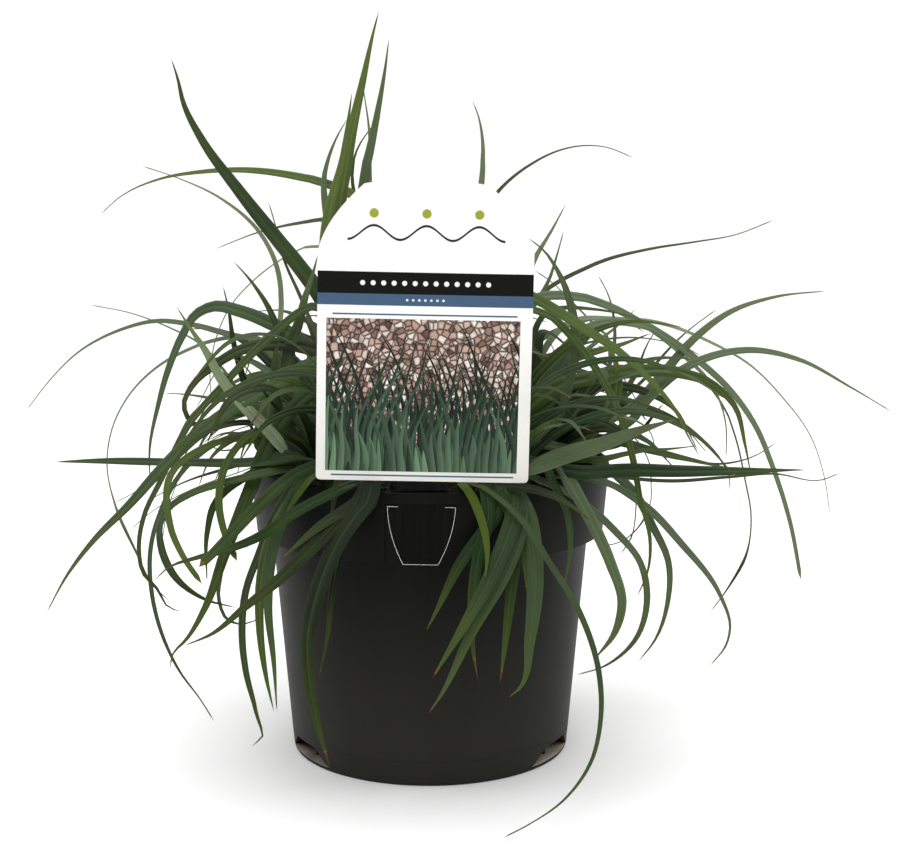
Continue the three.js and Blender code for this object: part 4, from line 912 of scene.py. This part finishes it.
# The seeds of the other leaves, shoot by shoot.
GROWN = {
    0: (23, 24, 43, 129, 243, 246, 303),
    1: (2, 3, 23, 35, 39, 50, 86, 161, 214),
    2: (1, 2, 9, 10, 11, 12, 13, 18, 68),
    3: (7, 13, 14, 20, 25, 30, 43, 48, 59),
    4: (13, 34, 73, 118, 173, 176, 430, 528),
    5: (25, 186, 264),
    6: (98, 482, 594),
    8: (3, 4, 22),
    9: (12, 15, 112, 136, 454, 747),
    10: (10, 44, 64, 84, 109),
    11: (1, 5, 6, 7, 33),
    12: (1, 2, 8, 25, 37),
    13: (22, 43, 102, 144, 225),
    14: (13, 36, 41, 75, 529),
    15: (11, 14, 28, 85, 108),
    16: (2, 13, 17, 20, 21),
    17: (9, 10, 55, 102, 128),
}

# The blades' tints, from dark to light, before each leaf's own small shift. Besides each
# leaf's own colour they hold painted light and shade: a drawn leaf in shade has a dark
# tint, and one in full light a pale one.
TINTS = {
    "d": srgb(23, 33, 15),
    "e": srgb(27, 48, 19),
    "n": srgb(36, 51, 18),
    "g": srgb(43, 60, 33),
    "m": srgb(56, 73, 45),
    "o": srgb(53, 71, 22),
    "p": srgb(75, 90, 63),
    "l": srgb(76, 92, 44),
    "k": srgb(89, 104, 76),
    "j": srgb(109, 122, 93),
    "y": srgb(64, 84, 20),
}

EYE = np.array([0, -EYE_BACK, EYE_UP])
AHEAD = np.array([
    math.sin(EYE_TURN) * math.cos(EYE_PITCH),
    math.cos(EYE_TURN) * math.cos(EYE_PITCH),
    -math.sin(EYE_PITCH),
])
ACROSS = np.array([math.cos(EYE_TURN), -math.sin(EYE_TURN), 0])
ABOVE = np.cross(ACROSS, AHEAD)

# The sheet stands square in front of the eye. Its marks are counted from its top left
# corner, and it is as far from the eye as 1750 of them are long.
SHEET_REACH = 1750
SHEET_MIDDLE = (450, 422)


def unit(vector):
    """The same direction, one long."""
    return vector / (np.linalg.norm(vector) or 1)


def from_sheet(mark, depth):
    """The point at a depth behind the pot's axis that the eye sees at a mark on the sheet."""
    ray = AHEAD * SHEET_REACH + ACROSS * (mark[0] - SHEET_MIDDLE[0]) + ABOVE * (SHEET_MIDDLE[1] - mark[1])
    return EYE + ray * ((depth + EYE_BACK) / ray[1])


def to_sheet(point):
    """The mark on the sheet at which the eye sees a point."""
    ray = point - EYE
    scale = SHEET_REACH / ray.dot(AHEAD)
    return np.array([SHEET_MIDDLE[0] + scale * ray.dot(ACROSS), SHEET_MIDDLE[1] - scale * ray.dot(ABOVE)])


def hermite(a, slope_a, b, slope_b, t):
    """The point at t on a curve from a to b that leaves and arrives with these slopes."""
    return ((2 * t ** 3 - 3 * t ** 2 + 1) * a + (t ** 3 - 2 * t ** 2 + t) * slope_a
            + (3 * t ** 2 - 2 * t ** 3) * b + (t ** 3 - t ** 2) * slope_b)


CURVE_STEPS = 12


def smooth(points, steps=CURVE_STEPS):
    """A smooth curve through the points, with so many steps from each to the next."""
    points = [np.array(p, float) for p in points]
    spans = [b - a for a, b in zip(points, points[1:])]
    sizes = [max(1e-6, np.linalg.norm(s)) for s in spans]
    slopes = [unit(spans[0])]
    for i in range(1, len(spans)):
        before, after = sizes[i - 1], sizes[i]
        total = before + after
        slopes.append(spans[i - 1] / before * after / total + spans[i] / after * before / total)
    slopes.append(unit(spans[-1]))
    line = []
    for i, size in enumerate(sizes):
        for k in range(steps):
            line.append(hermite(points[i], slopes[i] * size, points[i + 1], slopes[i + 1] * size, k / steps))
    return line + [points[-1]]


def soft_steps(spots, values, wanted):
    """The values at the wanted spots, on a curve without corners through those given."""
    values = np.array(values)
    slopes = np.gradient(values, spots)
    at = np.clip(np.searchsorted(spots, wanted, "right") - 1, 0, len(spots) - 2)
    gap = spots[at + 1] - spots[at]
    t = (wanted - spots[at]) / gap
    return hermite(values[at], slopes[at] * gap, values[at + 1], slopes[at + 1] * gap, t)


def runs(line):
    """How far along the line each of its points is."""
    return np.concatenate([[0], np.cumsum([np.linalg.norm(b - a) for a, b in zip(line, line[1:])])])


def evenly(line, count):
    """The same line in so many equal steps."""
    line = np.array(line)
    marks = runs(line)
    wanted = np.linspace(0, marks[-1], count + 1)
    return np.stack([np.interp(wanted, marks, line[:, k]) for k in range(line.shape[1])], axis=1)


# A leaf comes out of its sheath a little off the shoot's middle. One that hangs over
# the rim leaves the pot's edge behind it and then keeps clear of the wall and band.
LEAF_ROOT = 6
LEAF_OFFSET = 2.5
HIDDEN_POINTS = 5
OUT_SHARE = 0.3
MOST_LEAD = 170
EDGE_RADIUS = RIM_RADIUS + 2
EDGE_HALF = RIM_RADIUS - 4
NEAR_RIM = RIM_TOP + 12
CLEAR_RADIUS = RIM_RADIUS + 4
CLEAR_BELOW = RIM_TOP + 8


def root_toward(shoot, bearing):
    """Where a leaf with this bearing starts, inside its shoot's sheath."""
    return np.array([
        shoot.x + LEAF_OFFSET * math.cos(bearing),
        shoot.y + LEAF_OFFSET * math.sin(bearing),
        SOIL_TOP + LEAF_ROOT,
    ])


def drawn_path(shoot, tip, seen, count, fine=1):
    """The leaf's course: out of its sheath, out of sight, and then as it is drawn."""
    drawn = [np.array(p, float) for p in reversed(seen)]
    out = from_sheet(drawn[0], shoot.y + (tip - shoot.y) * OUT_SHARE)
    root = root_toward(shoot, math.atan2(out[1] - shoot.y, out[0] - shoot.x))
    start = to_sheet(root)
    size = np.linalg.norm(drawn[0] - start)
    reach = min(size, MOST_LEAD) * 1.1
    rise = unit(np.array([(drawn[0][0] - start[0]) / 4, -size])) * reach
    lead = unit(drawn[1] - drawn[0]) * reach
    hidden = [hermite(start, rise, drawn[0], lead, i / HIDDEN_POINTS) for i in range(HIDDEN_POINTS)]
    line = smooth(hidden + drawn)
    marks = evenly(line, count)
    run = runs(line)
    edge = run[HIDDEN_POINTS * CURVE_STEPS] / run[-1]
    edge_x = from_sheet(drawn[0], -POCKET_BACK)[0]
    edge_y = -math.sqrt(max(0, EDGE_RADIUS ** 2 - edge_x ** 2))
    over_rim = tip < 0 and abs(edge_x) < EDGE_HALF and from_sheet(drawn[0], edge_y)[2] < NEAR_RIM
    depths = []
    for i in range(count + 1):
        s = i / count
        if not over_rim:
            depths.append(root[1] + (tip - root[1]) * s ** 0.85)
        elif s < edge:
            depths.append(root[1] + (edge_y - root[1]) * math.sin(math.pi / 2 * s / edge))
        else:
            depths.append(edge_y + (tip - edge_y) * ((s - edge) / (1 - edge)) ** 0.6)
    side = -1 if tip < 0 else 1
    for _ in range(3):
        pushes = []
        for i, mark in enumerate(marks):
            x, y, z = from_sheet(mark, depths[i])
            beside = i / count >= edge and z <= CLEAR_BELOW and abs(x) < CLEAR_RADIUS
            pushes.append(max(0, math.sqrt(CLEAR_RADIUS ** 2 - x * x) - side * y) if beside else 0)
        for i in range(1, count + 1):
            depths[i] += side * max(push * max(0, 1 - abs(i - j) / 3) for j, push in enumerate(pushes))
    course = [root] + [from_sheet(mark, depth) for mark, depth in zip(marks[1:], depths[1:])]
    if fine == 1:
        return course
    first = math.ceil(edge * count) * fine + 1
    fine_marks = evenly(line, count * fine)
    eased = soft_steps(np.arange(count + 1) / count, depths, np.arange(count * fine + 1) / (count * fine))
    path = [from_sheet(mark, depth) for mark, depth in zip(fine_marks, eased)]
    path[:first] = smooth(course, fine)[:first]
    return path


GROWN_STEPS = 5
GROWN_FINE = 8


def grown_path(number, seed):
    """A leaf by the rule: it rises from its shoot, arches over and droops."""
    draw = seeded(seed + 1000 * number + 1)
    draw(0, 1)
    draw(0, 1)
    shoot = shoots[number]
    bearing = shoot.bearing + draw(-shoot.spread, shoot.spread)
    step = draw(90, 300) / GROWN_STEPS
    rise, fall, drift, bend = draw(0.9, 1.5), draw(-1.35, -0.1), draw(-0.35, 0.35), draw(0.8, 1.6)
    path = [root_toward(shoot, bearing)]
    for i in range(GROWN_STEPS):
        pitch = rise + (fall - rise) * ((i + 0.5) / GROWN_STEPS) ** bend
        bearing += drift / GROWN_STEPS
        flat = step * math.cos(pitch)
        path.append(path[i] + [flat * math.cos(bearing), flat * math.sin(bearing), step * math.sin(pitch)])
    return list(evenly(smooth(path), GROWN_STEPS * GROWN_FINE)), draw(5.5, 9.5)


FALLEN_WITHIN = 86


def fallen_path(shoot, bearing, reach, height):
    """An old leaf that lies on the mix, from the shoot's foot to the pot's wall at most."""
    x, y = shoot.x + 3.5 * math.cos(bearing), shoot.y + 3.5 * math.sin(bearing)
    base = np.array([x, y, SOIL_TOP + 5])
    path = [base]
    for step in range(1, CURVE_STEPS + 1):
        s = step / CURVE_STEPS
        away = min(reach * s, FALLEN_WITHIN + 2 - math.hypot(x, y))
        path.append(base + [
            away * math.cos(bearing + 0.3 * s), away * math.sin(bearing + 0.3 * s),
            height * math.sin(math.pi * s) - 2.5 * s])
    return path


# Across a leaf, its folded M: nine points, and how high each lies, as shares of the
# half width. Along it, it widens from its foot and tapers from its widest place.
TOP_ACROSS = (-1, -0.72, -0.46, -0.2, 0, 0.2, 0.46, 0.72, 1)
TOP_RISE = (-0.04, 0.06, 0.1, 0.03, -0.08, 0.03, 0.1, 0.06, -0.04)
LEAF_THICK = 0.5
LEAF_WIDEST = 0.3
LEAF_TAPER = 0.72
LEAF_FOOT = 0.08
LEAF_FOOT_SHARE = 0.3
LEAST_HALF = 0.35


def leaf_shape(s):
    """The leaf's width at a share of its length, as a share of its greatest width."""
    if s < LEAF_WIDEST:
        return 0.6 + 0.4 * math.sin(s / LEAF_WIDEST * math.pi / 2)
    return max(0, 1 - ((s - LEAF_WIDEST) / LEAF_TAPER) ** 2.2) ** 1.2


def leaf_wides(path, facing):
    """The direction across the leaf at each step: its face looks up and outwards."""
    wides = []
    for i in range(len(path) - 1):
        along = unit(path[i + 1] - path[max(i - 1, 0)])
        face = unit(EYE - path[i]) * facing + [0, 0, 1]
        face = face + unit(np.array([path[i][0], path[i][1], 0.001])) * max(0, -along[2]) * 0.6
        wide = unit(np.cross(along, face))
        if wides:
            wide = wide * (-1 if wide.dot(wides[-1]) < 0 else 1)
            wide = unit(wide + wides[-1] * 0.6)
        wides.append(unit(wide - along * wide.dot(along)))
    return wides


def finish_part(shoot_mesh, start, tint, dry):
    """Gives every point from start on its tint and its dryness."""
    added = len(shoot_mesh["points"]) - start
    shoot_mesh["tints"] += [tint] * added
    shoot_mesh["dry"] += [dry] * added


def add_leaf(shoot_mesh, path, width, facing, tint, dry, roll, kept=1):
    """A closed leaf, nine points wide over its M and nine below."""
    steps = len(path) - 1
    top = len(TOP_ACROSS)
    points, faces, marks = shoot_mesh["points"], shoot_mesh["faces"], shoot_mesh["marks"]
    start = len(points)
    for i, wide in enumerate(leaf_wides(path, facing)):
        s = i / steps
        along = unit(path[i + 1] - path[max(i - 1, 0)])
        up = np.cross(wide, along)
        lean = roll * math.sin(s * math.pi)
        wide, up = wide * math.cos(lean) + up * math.sin(lean), up * math.cos(lean) - wide * math.sin(lean)
        shape = leaf_shape(s * kept)
        if s < LEAF_FOOT:
            shape = LEAF_FOOT_SHARE + (leaf_shape(LEAF_FOOT * kept) - LEAF_FOOT_SHARE) * s / LEAF_FOOT
        half = max(LEAST_HALF, width * shape / 2)
        for layer in (0, 1):
            for across, rise in zip(TOP_ACROSS, TOP_RISE):
                drop = 0.04 if layer == 0 else LEAF_THICK * (1 - 0.7 * abs(across) ** 3)
                at = path[i] + wide * across * half + up * (rise * half + LEAF_THICK / 2 - drop)
                points.append(at)
                marks.append((across, s, layer))
    points.append(path[steps])
    marks.append((0, 1, 0))
    tip = len(points) - 1
    for i in range(steps - 1):
        a, b = start + i * 2 * top, start + (i + 1) * 2 * top
        for k in range(top - 1):
            faces.append((a + k, a + k + 1, b + k + 1, b + k))
            faces.append((a + top + k, b + top + k, b + top + k + 1, a + top + k + 1))
        faces.append((a, b, b + top, a + top))
        faces.append((a + top - 1, a + 2 * top - 1, b + 2 * top - 1, b + top - 1))
    a = start + (steps - 1) * 2 * top
    for k in range(top - 1):
        faces.append((a + k, a + k + 1, tip))
        faces.append((a + top + k + 1, a + top + k, tip))
    faces.append((a + top, a, tip))
    faces.append((a + top - 1, a + 2 * top - 1, tip))
    for k in range(top - 1):
        faces.append((start + k + 1, start + k, start + top + k, start + top + k + 1))
    finish_part(shoot_mesh, start, tint, dry)


SHEATH_SIDES = 24
SHEATH_LEVELS = 10
SHEATH_FOOT = SOIL_TOP - 9
SHEATH_HEIGHT = 35
SHEATH_RADII = ((0, 0.26, 0.7, 1), (4.2, 5.3, 4.2, 2.2))


def add_sheath(shoot_mesh, shoot, tint):
    """The ribbed foot of the shoot, of old leaf bases wrapped round each other."""
    points, faces, marks = shoot_mesh["points"], shoot_mesh["faces"], shoot_mesh["marks"]
    start = len(points)
    for level in range(SHEATH_LEVELS + 1):
        s = level / SHEATH_LEVELS
        for side in range(SHEATH_SIDES):
            angle = 2 * math.pi * side / SHEATH_SIDES
            rib = 0.32 * math.cos(angle * 7 + s * 2) + 0.18 * math.cos(angle * 3 - s * 3 + shoot.x)
            radius = np.interp(s, *SHEATH_RADII) + rib
            x, y = shoot.x + radius * math.cos(angle), shoot.y + radius * math.sin(angle)
            points.append(np.array([x, y, SHEATH_FOOT + SHEATH_HEIGHT * s]))
            marks.append((math.sin(angle * 2), s * 0.2, 0))
    points.append(np.array([shoot.x, shoot.y, SHEATH_FOOT + SHEATH_HEIGHT + 3]))
    marks.append((0, 0.2, 0))
    for level in range(SHEATH_LEVELS):
        a, b = start + level * SHEATH_SIDES, start + (level + 1) * SHEATH_SIDES
        for side in range(SHEATH_SIDES):
            after = (side + 1) % SHEATH_SIDES
            faces.append((a + side, a + after, b + after, b + side))
    a = start + SHEATH_LEVELS * SHEATH_SIDES
    for side in range(SHEATH_SIDES):
        faces.append((a + side, a + (side + 1) % SHEATH_SIDES, len(points) - 1))
    faces.append(tuple(reversed(range(start, start + SHEATH_SIDES))))
    finish_part(shoot_mesh, start, tint, 0)


# A leaf is veined along its length and mottled. It is yellower at its foot, paler along
# its rib, and past its dry place orange and then straw. Its underside is yellower and
# lighter, partly its own colour and partly painted light shining through the blade.
leaf = finish_of("sedge_leaf", 0.5, 0.13)
own_tint = leaf.node("Attribute", attribute_name="tint").outputs["Color"]
dryness, underside, _ = leaf.split(leaf.node("Attribute", attribute_name="habit").outputs["Vector"])
spot = leaf.node("UVMap", uv_map="leaf").outputs["UV"]
across, along, _ = leaf.split(spot)
place = leaf.node("TexCoord").outputs["Object"]
veins = leaf.speckle(leaf.stretch(spot, (12, 1, 1)), 1, 4, roughness=0.6)
mottle = leaf.speckle(place, 75, 4)
veined = leaf.span(veins, 0.3, 0.7, 0.76, 1.26)
mottled = leaf.math("MULTIPLY", veined, leaf.span(mottle, 0.3, 0.7, 0.9, 1.1))
tone = leaf.node("VectorMath", {0: own_tint, "Scale": mottled}, operation="SCALE").outputs[0]
tone = leaf.mix(leaf.span(leaf.speckle(place, 16, 2), 0.48, 0.7, 0, 0.25), tone, srgb(78, 94, 34))
# Partly painted light: the underside is lit yellow-green as if light shone through the blade.
tone = leaf.mix(leaf.math("MULTIPLY", underside, 0.45), tone, srgb(84, 104, 48))
from_rib = leaf.math("ABSOLUTE", leaf.math("SUBTRACT", across, 0.5))
tone = leaf.mix(leaf.span(from_rib, 0.05, 0.015, 0, 0.25), tone, srgb(90, 106, 64))
tone = leaf.mix(leaf.span(along, 0.16, 0.02), tone, srgb(80, 84, 38))
ragged = leaf.math("ADD", along, leaf.math("MULTIPLY", mottle, 0.12))
past_dry = leaf.math("SUBTRACT", ragged, leaf.span(dryness, 0, 1, 1.06, 0.76))
tone = leaf.mix(leaf.span(past_dry, -0.36, 0, 0, 0.32), tone, srgb(86, 100, 34))
tone = leaf.mix(leaf.span(past_dry, -0.01, 0.002), tone, srgb(118, 70, 30))
straw = leaf.ramp(mottle, (0, srgb(38, 29, 22)), (1, srgb(88, 70, 50)))
leaf.feed(Base_Color=leaf.mix(leaf.span(past_dry, 0.002, 0.012), tone, straw))
leaf.feed(Roughness=leaf.span(mottle, 0, 1, 0.4, 0.6))
leaf.grain(veins, 0.35, 0.0004)


def shifted(tint, draw, most):
    """The tint, a little lighter or darker and a little warmer or cooler."""
    light, warm = draw(1 - most, 1 + most), draw(0.96, 1.04)
    return (tint[0] * light * warm, tint[1] * light, tint[2] * light / warm, 1)


def with_marks(shoot_object, shoot_mesh):
    """Adds to each point what the leaf's finish reads: its marks, its tint and its habit."""
    mesh = shoot_object.data
    spots = np.zeros(len(mesh.loops), int)
    mesh.loops.foreach_get("vertex_index", spots)
    marks = np.array(shoot_mesh["marks"], float)
    uv = np.stack([marks[spots, 0] / 2 + 0.5, marks[spots, 1]], axis=1)
    mesh.uv_layers.new(name="leaf").data.foreach_set("uv", uv.ravel())
    tints = np.array(shoot_mesh["tints"], float)
    mesh.attributes.new("tint", "FLOAT_COLOR", "POINT").data.foreach_set("color", tints.ravel())
    habit = np.zeros((len(marks), 3))
    habit[:, 0] = shoot_mesh["dry"]
    habit[:, 1] = marks[:, 2]
    mesh.attributes.new("habit", "FLOAT_VECTOR", "POINT").data.foreach_set("vector", habit.ravel())


# Each shoot: its sheath, its drawn leaves, its grown leaves, and five old ones that
# have dried up and fallen over at its foot.
DRAWN_FACING = 0.75
GROWN_FACING = 0.6
FALLEN_FACING = 0.1
DRAWN_FINE = 7
FRONT_TIP = -105
FRONT_STEP = 30
LEAF_STEP = 34
CLIPPED = 0.72
OLD_LEAVES = 5

for number, shoot in enumerate(shoots):
    shoot_mesh = {"points": [], "faces": [], "marks": [], "tints": [], "dry": []}
    draw = seeded(300 + number)
    draw(0, 1)
    add_sheath(shoot_mesh, shoot, srgb(96, 104, 58))
    for owner, tip, width, kind, seen in DRAWN:
        if owner != number:
            continue
        length = runs(drawn_path(shoot, tip, seen, 10))[-1]
        step = FRONT_STEP if tip < -EDGE_RADIUS else LEAF_STEP
        count = max(5, min(10, int(length / step + 0.5)))
        path = drawn_path(shoot, tip, seen, count, DRAWN_FINE)
        kept = CLIPPED if kind.isupper() else 1
        tint = shifted(TINTS[kind.lower()], draw, 0.08)
        dry = draw(0.03 if tip < FRONT_TIP else -0.45, 0.25) - (1 - kept) * 2
        add_leaf(shoot_mesh, path, width, DRAWN_FACING, tint, dry, draw(-0.35, 0.35), kept)
    for seed in GROWN.get(number, ()):
        path, width = grown_path(number, seed)
        tint = shifted(TINTS["gnmdogep"[int(draw(0, 7.99))]], draw, 0.22)
        add_leaf(shoot_mesh, path, width, GROWN_FACING, tint, draw(-0.9, 0.2), draw(-0.35, 0.35))
    for _ in range(OLD_LEAVES):
        bearing = shoot.bearing + draw(-1.6, 1.6) * (1 if number < 16 else 2)
        reach, height = draw(16, 40), draw(3, 12)
        path = fallen_path(shoot, bearing, reach, height)
        tint = srgb(draw(96, 124), draw(78, 98), draw(46, 58))
        if math.hypot(path[0][0], path[0][1]) + reach < FALLEN_WITHIN:
            add_leaf(shoot_mesh, path, draw(2, 3.6), FALLEN_FACING, tint, 1.4, draw(-0.4, 0.4))
    shoot_object = piece_from("shoot_%02d" % (number + 1), shoot_mesh["points"], shoot_mesh["faces"])
    with_marks(shoot_object, shoot_mesh)
    rounded(shoot_object.data, 70)
    shoot_object.data.materials.append(leaf.owner)
    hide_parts("tiller_%02d" % (number + 1))
    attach(shoot_object, "root")
